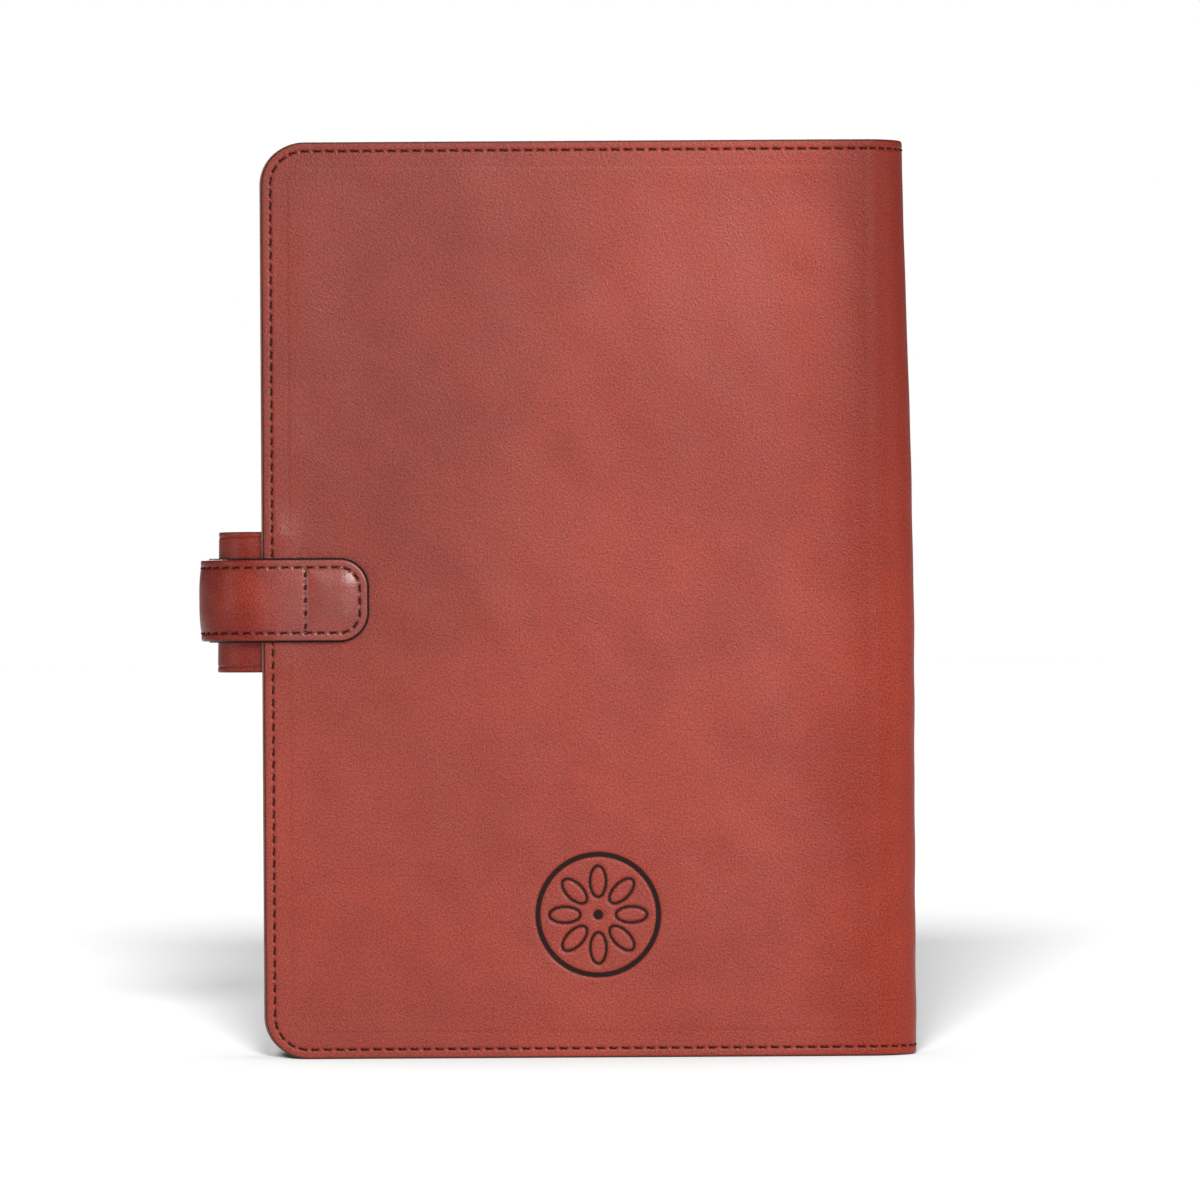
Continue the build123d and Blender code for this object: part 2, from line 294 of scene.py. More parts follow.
class Outline:
    """A rectangle with rounded corners in flat coordinates, and a stitch line inside it."""

    def __init__(self, length, z_low, z_high, corner, stitch_inset):
        self.length, self.z_low, self.z_high, self.corner = length, z_low, z_high, corner
        self.inset = stitch_inset
        self.straight_s = length - 2 * corner
        self.straight_z = z_high - z_low - 2 * corner
        self.bend = math.pi / 2 * (corner - stitch_inset)
        self.perimeter = 2 * (self.straight_s + self.straight_z) + 4 * self.bend
        self.stitches = round(self.perimeter / STITCH_PITCH)
        self.pitch = self.perimeter / self.stitches

    def edge_distance(self, s, z):
        """Distance inwards from the nearest edge."""
        qs = np.abs(s - self.length / 2) - self.length / 2 + self.corner
        qz = np.abs(z - (self.z_low + self.z_high) / 2) - (self.z_high - self.z_low) / 2 + self.corner
        outside = np.hypot(np.maximum(qs, 0), np.maximum(qz, 0)) + np.minimum(np.maximum(qs, qz), 0)
        return self.corner - outside

    def stitch_point(self, u, across=0.0):
        """The place at distance u along the stitch line, moved outwards by across."""
        radius = self.corner - self.inset
        low_s, high_s = self.corner, self.length - self.corner
        low_z, high_z = self.z_low + self.corner, self.z_high - self.corner
        starts = [(low_s, self.z_low + self.inset), (self.length - self.inset, low_z),
                  (high_s, self.z_high - self.inset), (self.inset, high_z)]
        centres = [(high_s, low_z), (high_s, high_z), (low_s, high_z), (low_s, low_z)]
        u = np.mod(np.asarray(u, float), self.perimeter)
        across = np.broadcast_to(across, u.shape)
        s, z = np.zeros_like(u), np.zeros_like(u)
        begin = 0.0
        for quarter, (start, centre) in enumerate(zip(starts, centres)):
            span = self.straight_z if quarter % 2 else self.straight_s
            here = (u >= begin) & (u <= begin + span)
            run, heading = u[here] - begin, math.radians(90 * quarter)
            s[here] = start[0] + run * math.cos(heading) + across[here] * math.sin(heading)
            z[here] = start[1] + run * math.sin(heading) - across[here] * math.cos(heading)
            begin += span
            here = (u >= begin) & (u <= begin + self.bend)
            angle = math.radians(90 * quarter - 90) + (u[here] - begin) / radius
            s[here] = centre[0] + (radius + across[here]) * np.cos(angle)
            z[here] = centre[1] + (radius + across[here]) * np.sin(angle)
            begin += self.bend
        return s, z

    def along(self, s, z):
        """Distance along the stitch line of the nearest point on it."""
        radius = self.corner - self.inset
        in_low, in_high = s < self.corner, s > self.length - self.corner
        under, over = z < self.z_low + self.corner, z > self.z_high - self.corner
        long_side, short_side = [self.straight_s, self.bend], [self.straight_z, self.bend]
        a, b, c, d, e, f, g = np.cumsum(long_side + short_side + long_side + short_side[:1])
        angle_1 = np.arctan2(z - self.z_low - self.corner, s - self.length + self.corner) + math.pi / 2
        angle_2 = np.arctan2(z - self.z_high + self.corner, s - self.length + self.corner)
        angle_3 = np.arctan2(z - self.z_high + self.corner, s - self.corner) - math.pi / 2
        angle_4 = np.arctan2(self.z_low + self.corner - z, self.corner - s)
        lower = z < (self.z_low + self.z_high) / 2
        near_side = np.minimum(s, self.length - s) < np.minimum(z - self.z_low, self.z_high - z)
        conditions = [in_high & under, in_high & over, in_low & over, in_low & under,
                      near_side & (s > self.length / 2), near_side, lower]
        values = [a + angle_1 * radius, c + angle_2 * radius, e + angle_3 * radius, g + angle_4 * radius,
                  b + z - self.z_low - self.corner, f + self.z_high - self.corner - z, s - self.corner]
        return np.select(conditions, values, d + self.length - self.corner - s)


COVER = Wrap(FREE_X, SPINE_X, 0.0, SPINE_RADIUS, PINCH)
COVER_LENGTH = 2 * COVER.flat + COVER.arc
COVER_OUTLINE = Outline(COVER_LENGTH, 0.0, HEIGHT, CORNER, COVER_STITCH_INSET)
STRAP = Wrap(strap_high[0], STRAP_TURN_X, -STRAP_THICKNESS, STRAP_RADIUS)
STRAP_LENGTH = STRAP.at_x(tip_high[0], far=True)
STRAP_OUTLINE = Outline(STRAP_LENGTH, strap_low[2], strap_high[2], STRAP_CORNER, STRAP_STITCH_INSET)
CROSS_S = STRAP.at_x(FREE_X + 10.4)
FOLD_S = [COVER.flat + COVER.arc * k / FOLDS for k in range(FOLDS + 1)]
STRAP_FOLD_S = [STRAP.flat + STRAP.arc * k / FOLDS for k in range(FOLDS + 1)]
EMBLEM_S = COVER.at_x(EMBLEM_X)


# ---------------------------------------------------------------- mesh building

def triangulate(points):
    """Triangles over a set of points whose outline is convex, counter-clockwise in (s, z)."""
    _, _, faces, origin, _, _ = delaunay_2d_cdt([Vector(p) for p in points], [], [], 0, 1e-5)
    back = np.array([o[0] if o else 0 for o in origin])
    return back[np.array(faces)]


def make_object(name, verts, faces, uv=None, layers=None, normals=None, material=None):
    """A smooth-shaded mesh object from millimetre coordinates."""
    mesh = bpy.data.meshes.new(name)
    verts = np.asarray(verts, float).reshape(-1, 3)
    mesh.from_pydata((verts * MM).tolist(), [], [list(map(int, f)) for f in faces])
    mesh.polygons.foreach_set("use_smooth", np.ones(len(mesh.polygons), bool))
    corners = np.zeros(len(mesh.loops), np.int32)
    mesh.loops.foreach_get("vertex_index", corners)
    if uv is not None:
        layer = mesh.uv_layers.new(name="flat")
        layer.data.foreach_set("uv", (np.asarray(uv) * MM)[corners].astype(np.float32).ravel())
    for key, values in (layers or {}).items():
        attribute = mesh.attributes.new(key, "FLOAT", "POINT")
        attribute.data.foreach_set("value", np.asarray(values, np.float32))
    mesh.update()
    if normals is not None:
        mesh.normals_split_custom_set_from_vertices(np.asarray(normals).tolist())
    obj = bpy.data.objects.new(name, mesh)
    bpy.context.scene.collection.objects.link(obj)
    if material is not None:
        mesh.materials.append(material)
    return obj


class Mesher:
    """Collects surfaces, with their coordinates and layers, into one mesh."""

    def __init__(self):
        self.verts, self.uv, self.normals, self.faces, self.layers = [], [], [], [], {}
        self.count = 0

    def add(self, verts, faces, uv, normals, **layers):
        """Adds a surface. A layer is a number or one number per vertex, and 0 where it isn't given."""
        size = len(verts)
        for key in set(self.layers) | set(layers):
            have = self.layers.setdefault(key, [np.zeros(self.count)] if self.count else [])
            have.append(np.broadcast_to(layers.get(key, 0.0), (size,)))
        self.verts.append(verts)
        self.uv.append(uv)
        self.normals.append(normals)
        self.faces.extend((np.asarray(faces) + self.count).tolist())
        self.count += size

    def build(self, name, material):
        """Makes the object."""
        layers = {key: np.concatenate(parts) for key, parts in self.layers.items()}
        return make_object(name, np.concatenate(self.verts), self.faces, np.concatenate(self.uv), layers,
                           np.concatenate(self.normals), material)


def surface_normals(wrap, depth_of, s, z, outward):
    """Normals of a bent surface, from small steps along it."""
    step = 0.06
    ds = wrap.place(s + step, z, depth_of(s + step, z)) - wrap.place(s - step, z, depth_of(s - step, z))
    dz = wrap.place(s, z + step, depth_of(s, z + step)) - wrap.place(s, z - step, depth_of(s, z - step))
    normal = np.cross(ds, dz) * wrap.side * (1 if outward else -1)
    return normal / np.linalg.norm(normal, axis=-1, keepdims=True)


def add_face(mesher, wrap, points, depth_of, outward, **layers):
    """One face of a sheet: triangles over flat points, laid at a depth."""
    faces = triangulate(points)
    s, z = points[:, 0], points[:, 1]
    if (wrap.side > 0) != outward:
        faces = faces[:, ::-1]
    values = {key: value(s, z) if callable(value) else value for key, value in layers.items()}
    mesher.add(wrap.place(s, z, depth_of(s, z)), faces, points,
               surface_normals(wrap, depth_of, s, z, outward), **values)


def add_wall(mesher, wrap, loop, top, bottom, **layers):
    """The cut edge of a sheet, in two bands round a closed loop of flat points."""
    s, z = loop[:, 0], loop[:, 1]
    size, rows = len(loop), (0.0, 0.5, 1.0)
    depth_top, depth_bottom = top(s, z), bottom(s, z)
    verts = np.array([wrap.place(s, z, depth_top * (1 - t) + depth_bottom * t) for t in rows])
    tangent = np.roll(verts[0], -1, axis=0) - np.roll(verts[0], 1, axis=0)
    normal = np.cross(verts[-1] - verts[0], tangent) * wrap.side
    normal /= np.maximum(np.linalg.norm(normal, axis=1, keepdims=True), 1e-9)
    here = np.arange(size)
    following = np.roll(here, -1)
    band = np.stack([here, here + size, following + size, following], 1)[:, ::wrap.side]
    mesher.add(verts.reshape(-1, 3), np.concatenate([band, band + size]), np.tile(loop, (len(rows), 1)),
               np.tile(normal, (len(rows), 1)), **layers)


def tube_faces(rows, size):
    """Faces of a tube, from rows of points round it, with a face over each end."""
    faces = []
    for i in range(rows - 1):
        for j in range(size):
            k = (j + 1) % size
            faces.append((i * size + j, i * size + k, (i + 1) * size + k, (i + 1) * size + j))
    faces.append(tuple(reversed(range(size))))
    faces.append(tuple((rows - 1) * size + j for j in range(size)))
    return faces


def u_rows(outline, s_end, distances, mirrored):
    """Points on lines that follow the free edges of a cover: along the top, round the free edge, along the
    bottom. distances pairs each inset with the spacing of its points."""
    corner = outline.corner
    low, high = outline.z_low + corner, outline.z_high - corner
    rows = []
    for inset, spacing in distances:
        top = np.linspace(s_end, corner, max(2, round((s_end - corner) / spacing)) + 1)
        side = np.linspace(high, low, max(2, round(outline.straight_z / spacing)) + 1)
        arc = np.linspace(90, 180, max(3, round(math.pi / 2 * corner / spacing)) + 1)[1:-1]
        bends = [(corner + (corner - inset) * np.cos(turn), z + (corner - inset) * np.sin(turn))
                 for z, turn in ((high, np.radians(arc)), (low, np.radians(arc + 90)))]
        parts = [(top, np.full_like(top, outline.z_high - inset)), bends[0],
                 (np.full_like(side, inset), side), bends[1],
                 (top[::-1], np.full_like(top, outline.z_low + inset))]
        rows.append(np.concatenate([np.stack(part, 1) for part in parts]))
    if mirrored:
        rows = [np.stack([outline.length - row[:, 0], row[:, 1]], 1)[::-1] for row in rows]
    return rows


def grid(s_values, z_values):
    """All points of a grid, as flat coordinates."""
    s, z = np.meshgrid(s_values, z_values)
    return np.stack([s.ravel(), z.ravel()], 1)


def closed_by(row, s_seam, z_values):
    """A closed loop: a row along the free edges and the seam that joins its two ends."""
    inner = np.array([z for z in z_values if min(row[0, 1], row[-1, 1]) < z < max(row[0, 1], row[-1, 1])])
    up = np.sort(inner) if row[-1, 1] < row[0, 1] else np.sort(inner)[::-1]
    return np.concatenate([row, np.stack([np.full_like(up, s_seam), up], 1)])


# Rows of points along the free edges: each row's distance in from the edge and the spacing of its points.
# They are close together at the edge and under the stitches. The other points lie on a grid, at these steps.
FINE, MEDIUM, COARSE = STITCH_PITCH / 8, STITCH_PITCH / 4, STITCH_PITCH / 2
EDGE_ROWS = ([(d, MEDIUM) for d in (0.0, 0.05, 0.15, 0.3, 0.5, 0.8, 1.2)]
             + [(d, FINE) for d in (1.55, 1.8, 2.0, 2.15, 2.3, 2.45, 2.65, 2.9)]
             + [(d, MEDIUM) for d in (3.25, 3.7)]
             + [(d, COARSE) for d in (4.4, 5.2, 5.8, 6.2, 6.6, 7.0, 7.5, 8.4, 9.4)])
PLAIN_ROWS = ([(d, MEDIUM) for d in (0.0, 0.4)]
              + [(d, COARSE) for d in (1.2, 2.4, 3.6, 5.2, 5.8, 6.2, 6.6, 8.4)])
STRAP_ROWS = ([(d, FINE) for d in (0.0, 0.05, 0.15, 0.3, 0.5, 0.8, 1.1, 1.35)]
              + [(d, FINE) for d in (1.6, 1.8, 1.95, 2.1, 2.3, 2.6, 2.95)]
              + [(d, MEDIUM) for d in (3.3, 3.8, 4.5, 5.4, 6.2)])
BACKING_ROWS = [(d, MEDIUM) for d in (-0.3, -0.25, -0.15, 0.0, 0.5, 1.2)] + STRAP_ROWS[8:]
GRID_STEP, STRAP_STEP = 1.9, 0.9


def seam_heights(outline, rows, step):
    """Heights of the points on a seam across a whole sheet, from its low edge to its high edge."""
    near = np.array([d for d, _ in rows])
    span = outline.straight_z
    middle = outline.z_low + outline.corner + np.linspace(0, span, max(2, round(span / step)) + 1)
    return np.unique(np.round(np.concatenate([outline.z_low + near, middle, outline.z_high - near]), 4))


def panel_points(outline, s_end, rows, step, mirrored=False, extra=None, keep=None):
    """The flat points of a panel with two rounded corners, and how many of them are its outline."""
    lines = u_rows(outline, s_end, rows, mirrored)
    heights = seam_heights(outline, rows, step)
    loop = closed_by(lines[0], outline.length - s_end if mirrored else s_end, heights)
    columns = np.linspace(outline.corner, s_end, max(2, round((s_end - outline.corner) / step)) + 1)
    low, high = outline.z_low + outline.corner - 0.1, outline.z_high - outline.corner + 0.1
    middle = grid(columns[:-1], heights[(heights > low) & (heights < high)])
    if mirrored:
        middle[:, 0] = outline.length - middle[:, 0]
    points = np.concatenate([line[1:-1] for line in lines[1:]] + [middle])
    if keep is not None:
        points = points[keep(points)]
    parts = [loop, points] + ([extra] if extra is not None else [])
    return np.concatenate(parts), len(loop)


def fold_points(s_low, s_high, heights, columns):
    """The flat points of one fold, and how many of them are its outline."""
    s = np.linspace(s_low, s_high, columns + 1)
    low, high = heights[0], heights[-1]
    loop = [np.stack([s, np.full_like(s, low)], 1)[:-1],
            np.stack([np.full_like(heights, s_high), heights], 1)[:-1],
            np.stack([s[::-1], np.full_like(s, high)], 1)[:-1],
            np.stack([np.full_like(heights, s_low), heights[::-1]], 1)[:-1]]
    outline = np.concatenate(loop)
    return np.concatenate([outline, grid(s[1:-1], heights[1:-1])]), len(outline)


# A sheet stands out at most this far past its outer face, and a blend starts this far inside its two seams.
SEAM_PROUD, SEAM_MARGIN = 0.5, 0.02


def chord(wrap, heights, folds_s, number, depth):
    """Start and end of the blend over one fold, in metres, inset so that the fold's two seams stay rigid."""
    a = wrap.place(folds_s[number], MID_Z, 0.0)
    unit = wrap.place(folds_s[number + 1], MID_Z, 0.0) - a
    unit /= np.linalg.norm(unit)
    places = [(z, d) for z in heights for d in (-SEAM_PROUD, depth)]
    first = [(wrap.place(folds_s[number], z, d) - a) @ unit for z, d in places]
    last = [(wrap.place(folds_s[number + 1], z, d) - a) @ unit for z, d in places]
    begin, end = max(first) + SEAM_MARGIN, min(last) - SEAM_MARGIN
    return tuple((a + unit * begin) * MM), tuple((a + unit * end) * MM)


def blend_fold(obj, wrap, heights, folds_s, chain, number, depth):
    """Lets a piece bend over one fold, between the two bodies that the fold joins."""
    start, end = chord(wrap, (heights[0], MID_Z, heights[-1]), folds_s, number, depth)
    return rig.blend(obj, chain[number], chain[number + 1], start=start, end=end)


# ---------------------------------------------------------------- materials

class Nodes:
    """A short way to write the node tree of a material or a world."""

    def __init__(self, owner, output="ShaderNodeOutputMaterial", shader="ShaderNodeBsdfPrincipled"):
        self.owner = bpy.data.materials.new(owner) if isinstance(owner, str) else owner
        self.owner.use_nodes = True
        self.tree = self.owner.node_tree
        self.tree.nodes.clear()
        self.shader = self.add(shader)
        self.link(self.shader.outputs[0], self.add(output).inputs[0])

    def add(self, kind, **settings):
        """A new node, with its settings."""
        node = self.tree.nodes.new(kind)
        for key, value in settings.items():
            setattr(node, key, value)
        return node

    def link(self, source, target):
        """Joins two sockets."""
        self.tree.links.new(source, target)

    def feed(self, socket, value):
        """Gives an input either another node's output or a plain value."""
        if isinstance(value, bpy.types.NodeSocket):
            self.link(value, socket)
        elif value is not None:
            socket.default_value = value

    def calc(self, operation, a, b=None):
        """One step of arithmetic."""
        node = self.add("ShaderNodeMath", operation=operation)
        self.feed(node.inputs[0], a)
        if b is not None:
            self.feed(node.inputs[1], b)
        return node.outputs[0]

    def scaled(self, vector, scale):
        """A vector times a scale for each axis."""
        mapping = self.add("ShaderNodeMapping")
        mapping.inputs["Scale"].default_value = scale
        self.link(vector, mapping.inputs[0])
        return mapping.outputs[0]

    def flat_uv(self, unit, stretch=(1, 1, 1)):
        """The sheet's flat coordinates, in units of so many millimetres."""
        source = self.add("ShaderNodeUVMap", uv_map="flat").outputs[0]
        return self.scaled(source, [v / (unit * MM) for v in stretch])

    def object_mm(self, unit, stretch=(1, 1, 1)):
        """The object's own coordinates, in units of so many millimetres."""
        source = self.add("ShaderNodeTexCoord").outputs["Object"]
        return self.scaled(source, [v / (unit * MM) for v in stretch])

    def noise(self, vector, detail=3.0, roughness=0.5, distortion=0.0):
        """Cloudy noise, about one unit across."""
        node = self.add("ShaderNodeTexNoise")
        node.inputs["Scale"].default_value = 1.0
        node.inputs["Detail"].default_value = detail
        node.inputs["Roughness"].default_value = roughness
        node.inputs["Distortion"].default_value = distortion
        self.link(vector, node.inputs["Vector"])
        return node.outputs["Fac"]

    def voronoi(self, vector, feature):
        """Rounded cells, about one unit across."""
        node = self.add("ShaderNodeTexVoronoi", feature=feature)
        node.inputs["Scale"].default_value = 1.0
        self.link(vector, node.inputs["Vector"])
        return node.outputs["Distance"]

    def ramp(self, value, low, high, to_low=0.0, to_high=1.0):
        """A smooth step from to_low to to_high, as the value goes from low to high."""
        node = self.add("ShaderNodeMapRange", interpolation_type="SMOOTHSTEP")
        for key, number in (("From Min", low), ("From Max", high), ("To Min", to_low), ("To Max", to_high)):
            node.inputs[key].default_value = number
        self.feed(node.inputs["Value"], value)
        return node.outputs[0]

    def mix(self, factor, a, b):
        """A colour between a and b."""
        node = self.add("ShaderNodeMix", data_type="RGBA")
        self.feed(node.inputs["Factor"], factor)
        for socket, value in ((node.inputs["A"], a), (node.inputs["B"], b)):
            self.feed(socket, value if isinstance(value, bpy.types.NodeSocket) else (*value, 1.0))
        return [o for o in node.outputs if o.type == "RGBA"][0]

    def tint(self, colour, factor):
        """A colour made lighter or darker by a factor."""
        node = self.add("ShaderNodeVectorMath", operation="SCALE")
        self.link(colour, node.inputs[0])
        self.feed(node.inputs["Scale"], factor)
        return node.outputs[0]

    def layer(self, name):
        """A mesh layer, 0 where the mesh has none."""
        return self.add("ShaderNodeAttribute", attribute_name=name).outputs["Fac"]

    def bump(self, heights):
        """Bump from (height, depth in millimetres) pairs, added together."""
        total = None
        for height, depth in heights:
            part = self.calc("MULTIPLY", height, depth)
            total = part if total is None else self.calc("ADD", total, part)
        node = self.add("ShaderNodeBump")
        node.inputs["Strength"].default_value = 1.0
        node.inputs["Distance"].default_value = MM
        self.link(total, node.inputs["Height"])
        self.link(node.outputs[0], self.shader.inputs["Normal"])

    def finish(self, **values):
        """Sets the shader's inputs, with _ for a space in their names, and gives back the material."""
        for key, value in values.items():
            name = key.replace("_", " ")
            value = (*value, 1.0) if isinstance(value, tuple) and len(value) == 3 else value
            self.feed(self.shader.inputs[name], value)
        return self.owner


DARK_EDGE = (0.015, 0.007, 0.006)
# The colour of the painted shade where the cover turns into the spine.
SPINE_SHADE = (0.178, 0.014, 0.006)


def leather(name, light, dark, gloss=0.42, grain=0.075, coat=0.0, mottle=1.0, shine=0.5):
    """Smooth waxed leather: cloudy colour, pebbled grain and fine pores. Mesh layers say where it is a dyed
    edge, a pressed mark, a stitch groove with painted shade in it, painted shade where it turns into the spine, dull,
    or darker with painted shade towards the free edges and the top."""
    n = Nodes(name)
    clouds = n.noise(n.flat_uv(48, (1, 1.15, 1)), detail=2, roughness=0.5, distortion=0.4)
    patches = n.noise(n.flat_uv(9), detail=4, roughness=0.6)
    speckle = n.noise(n.flat_uv(0.46), detail=3, roughness=0.65)
    wear = n.ramp(n.calc("ADD", n.calc("MULTIPLY", clouds, 0.62), n.calc("MULTIPLY", patches, 0.38)),
                  0.34, 0.66, 0.5 - 0.5 * mottle, 0.5 + 0.5 * mottle)
    base = n.mix(wear, dark, light)
    # shade is the grain's random speckle times a mesh layer of painted shade, darker towards the free edges and the
    # top.
    shade = n.calc("MULTIPLY", n.ramp(speckle, 0.32, 0.68, 0.60, 1.42),
                   n.ramp(n.layer("patina"), 0.0, 1.0, 1.0, 0.74))
    # Painted shade where the cover turns into the spine is mixed into the colour here.
    colour = n.tint(n.mix(n.calc("MULTIPLY", n.layer("burnish"), 0.9), base, SPINE_SHADE), shade)
    # Painted shade in the stitch dents and pressed lines darkens the colour here.
    colour = n.mix(n.calc("MULTIPLY", n.layer("groove"), 0.55), colour, tuple(v * 0.30 for v in dark))
    edge = n.calc("MAXIMUM", n.layer("edge"), n.layer("mark"))
    colour = n.mix(edge, colour, DARK_EDGE)
    pebbles = n.voronoi(n.flat_uv(0.46), feature="SMOOTH_F1")
    creases = n.noise(n.flat_uv(1.6), detail=2, roughness=0.5, distortion=0.4)
    pores = n.noise(n.flat_uv(0.30), detail=2)
    n.bump([(pebbles, grain), (creases, grain * 0.3), (pores, grain * 0.7)])
    rough = n.ramp(n.calc("ADD", n.calc("MULTIPLY", patches, 0.5), n.calc("MULTIPLY", speckle, 0.5)),
                   0.3, 0.7, gloss - 0.07, gloss + 0.07)
    matt = n.calc("MAXIMUM", edge, n.layer("dull"))
    return n.finish(Base_Color=colour, Roughness=rough, Coat_Weight=n.ramp(matt, 0.0, 1.0, coat, 0.0),
                    Coat_Roughness=0.27, Specular_IOR_Level=n.ramp(matt, 0.0, 1.0, shine, 0.12))


def thread_material():
    """Waxed dark thread, with its fibres running round it."""
    n = Nodes("waxed_thread")
    fibres = n.noise(n.object_mm(0.12), detail=2)
    colour = n.mix(n.ramp(fibres, 0.3, 0.7), (0.004, 0.003, 0.003), (0.012, 0.007, 0.006))
    n.bump([(fibres, 0.02)])
    return n.finish(Base_Color=colour, Roughness=0.65, Specular_IOR_Level=0.2)


def lining_material(name, light, dark):
    """Fine matt lining leather with a soft nap."""
    n = Nodes(name)
    clouds = n.noise(n.flat_uv(14), detail=4, roughness=0.6)
    nap = n.noise(n.flat_uv(0.35), detail=3, roughness=0.7)
    colour = n.mix(n.ramp(clouds, 0.35, 0.65), dark, light)
    colour = n.mix(n.ramp(nap, 0.35, 0.75, 0.0, 0.35), colour, tuple(v * 0.55 for v in dark))
    # Painted shade in the stitch dents darkens the lining's colour here.
    colour = n.mix(n.calc("MULTIPLY", n.layer("groove"), 0.6), colour, tuple(v * 0.3 for v in dark))
    colour = n.mix(n.layer("edge"), colour, tuple(v * 1.5 for v in light))
    n.bump([(nap, 0.05), (clouds, 0.08)])
    return n.finish(Base_Color=colour, Roughness=0.78, Sheen_Weight=0.25, Sheen_Roughness=0.5,
                    Specular_IOR_Level=0.25)


def board_material():
    """Grey-brown board with short fibres."""
    n = Nodes("grey_board")
    fibres = n.noise(n.object_mm(0.5), detail=4, roughness=0.7)
    flecks = n.voronoi(n.object_mm(2.2), feature="F1")
    colour = n.mix(n.ramp(fibres, 0.3, 0.7), (0.23, 0.18, 0.13), (0.36, 0.29, 0.22))
    colour = n.mix(n.ramp(flecks, 0.05, 0.16, 0.5, 0.0), colour, (0.14, 0.10, 0.07))
    n.bump([(fibres, 0.05)])
    return n.finish(Base_Color=colour, Roughness=0.85, Specular_IOR_Level=0.2)


def paper_material():
    """Ivory paper, with the lines of the stacked leaves on the cut edges."""
    n = Nodes("ivory_paper")
    lines = n.noise(n.object_mm(1.0, (0.06, 9.5, 0.06)), detail=2, roughness=0.6)
    fibre = n.noise(n.object_mm(0.8), detail=4, roughness=0.6)
    colour = n.mix(n.ramp(lines, 0.35, 0.65), (0.62, 0.55, 0.43), (0.80, 0.74, 0.62))
    colour = n.mix(n.ramp(fibre, 0.3, 0.7, 0.0, 0.25), colour, (0.86, 0.81, 0.70))
    n.bump([(lines, 0.06), (fibre, 0.02)])
    return n.finish(Base_Color=colour, Roughness=0.82, Specular_IOR_Level=0.2)


def card_material():
    """Dark uncoated card with a faint tooth."""
    n = Nodes("dark_card")
    tooth = n.noise(n.flat_uv(0.4), detail=3, roughness=0.65)
    clouds = n.noise(n.flat_uv(18), detail=3)
    colour = n.mix(n.ramp(clouds, 0.35, 0.65), (0.030, 0.027, 0.026), (0.046, 0.041, 0.038))
    colour = n.mix(n.ramp(tooth, 0.35, 0.75, 0.0, 0.3), colour, (0.075, 0.068, 0.062))
    n.bump([(tooth, 0.03)])
    return n.finish(Base_Color=colour, Roughness=0.68, Specular_IOR_Level=0.35)


def cloth_material():
    """Book cloth: a plain weave of dark threads."""
    n = Nodes("book_cloth")
    height = None
    for axis in "XZY":
        wave = n.add("ShaderNodeTexWave", wave_type="BANDS", bands_direction=axis)
        wave.inputs["Scale"].default_value = 1.0
        n.link(n.object_mm(1.0, (0.9, 0.9, 0.9)), wave.inputs["Vector"])
        height = wave.outputs["Fac"] if height is None else n.calc("MAXIMUM", height, wave.outputs["Fac"])
    slub = n.noise(n.object_mm(1.2), detail=3)
    colour = n.mix(height, (0.012, 0.008, 0.008), (0.050, 0.028, 0.026))
    colour = n.mix(n.ramp(slub, 0.4, 0.8, 0.0, 0.4), colour, (0.085, 0.050, 0.045))
    n.bump([(height, 0.08), (slub, 0.04)])
    return n.finish(Base_Color=colour, Roughness=0.8, Sheen_Weight=0.2, Specular_IOR_Level=0.2)


def metal_material():
    """Antique brass, mottled with tarnish and finely scratched."""
    n = Nodes("antique_brass")
    tarnish = n.noise(n.object_mm(2.2), detail=5, roughness=0.65, distortion=0.5)
    scratch = n.noise(n.object_mm(0.25), detail=2)
    colour = n.mix(n.ramp(tarnish, 0.35, 0.65), (0.22, 0.15, 0.075), (0.50, 0.36, 0.19))
    rough = n.ramp(n.calc("ADD", n.calc("MULTIPLY", tarnish, 0.6), n.calc("MULTIPLY", scratch, 0.4)),
                   0.3, 0.7, 0.22, 0.46)
    n.bump([(scratch, 0.012), (tarnish, 0.02)])
    return n.finish(Base_Color=colour, Metallic=1.0, Roughness=rough)


COVER_LEATHER = leather("cover_leather_brown", (0.338, 0.038, 0.018), (0.250, 0.024, 0.011),
                        mottle=0.65, shine=0.45)
STRAP_SKIN = leather("strap_leather_brown", (0.265, 0.033, 0.019), (0.175, 0.018, 0.010),
                     gloss=0.32, grain=0.045, coat=0.45)
BACKING_SKIN = leather("strap_backing_brown", (0.25, 0.038, 0.027), (0.18, 0.025, 0.018), gloss=0.50)
LOOP_SKIN = leather("loop_leather_brown", (0.27, 0.029, 0.016), (0.18, 0.016, 0.009),
                    gloss=0.36, grain=0.045, shine=0.25)
INNER_LEATHER = leather("inner_leather_brown", (0.30, 0.050, 0.035), (0.22, 0.033, 0.023), gloss=0.48)
LINING_SKIN = lining_material("lining_suede", (0.47, 0.24, 0.18), (0.39, 0.185, 0.135))
THREAD = thread_material()
BOARD = board_material()
PAPER = paper_material()
CARD = card_material()
CLOTH = cloth_material()
BRASS = metal_material()


# ---------------------------------------------------------------- the cover's shape

swell = Waves(62.0)
ripple = Waves(17.0)


def rounded_edge(distance, radius):
    """How far a rounded edge lies below the face, at a distance in from the cut."""
    inside = np.clip(radius - distance, 0, radius)
    return radius - np.sqrt(np.maximum(radius**2 - inside**2, 0))


def stitch_dent(outline, s, z):
    """The dents that the thread pulls into the leather: a line, deeper under a stitch and at its holes."""
    across = outline.edge_distance(s, z) - outline.inset
    phase = np.mod(outline.along(s, z) / outline.pitch, 1.0) - 0.5
    hole = bell((np.abs(phase) - HOLE_AT) * outline.pitch, HOLE_WIDTH)
    under = smooth(0.40, 0.22, np.abs(phase))
    return bell(across, 0.36) * (0.06 + 0.12 * under) + bell(across, 0.32) * hole * 0.32


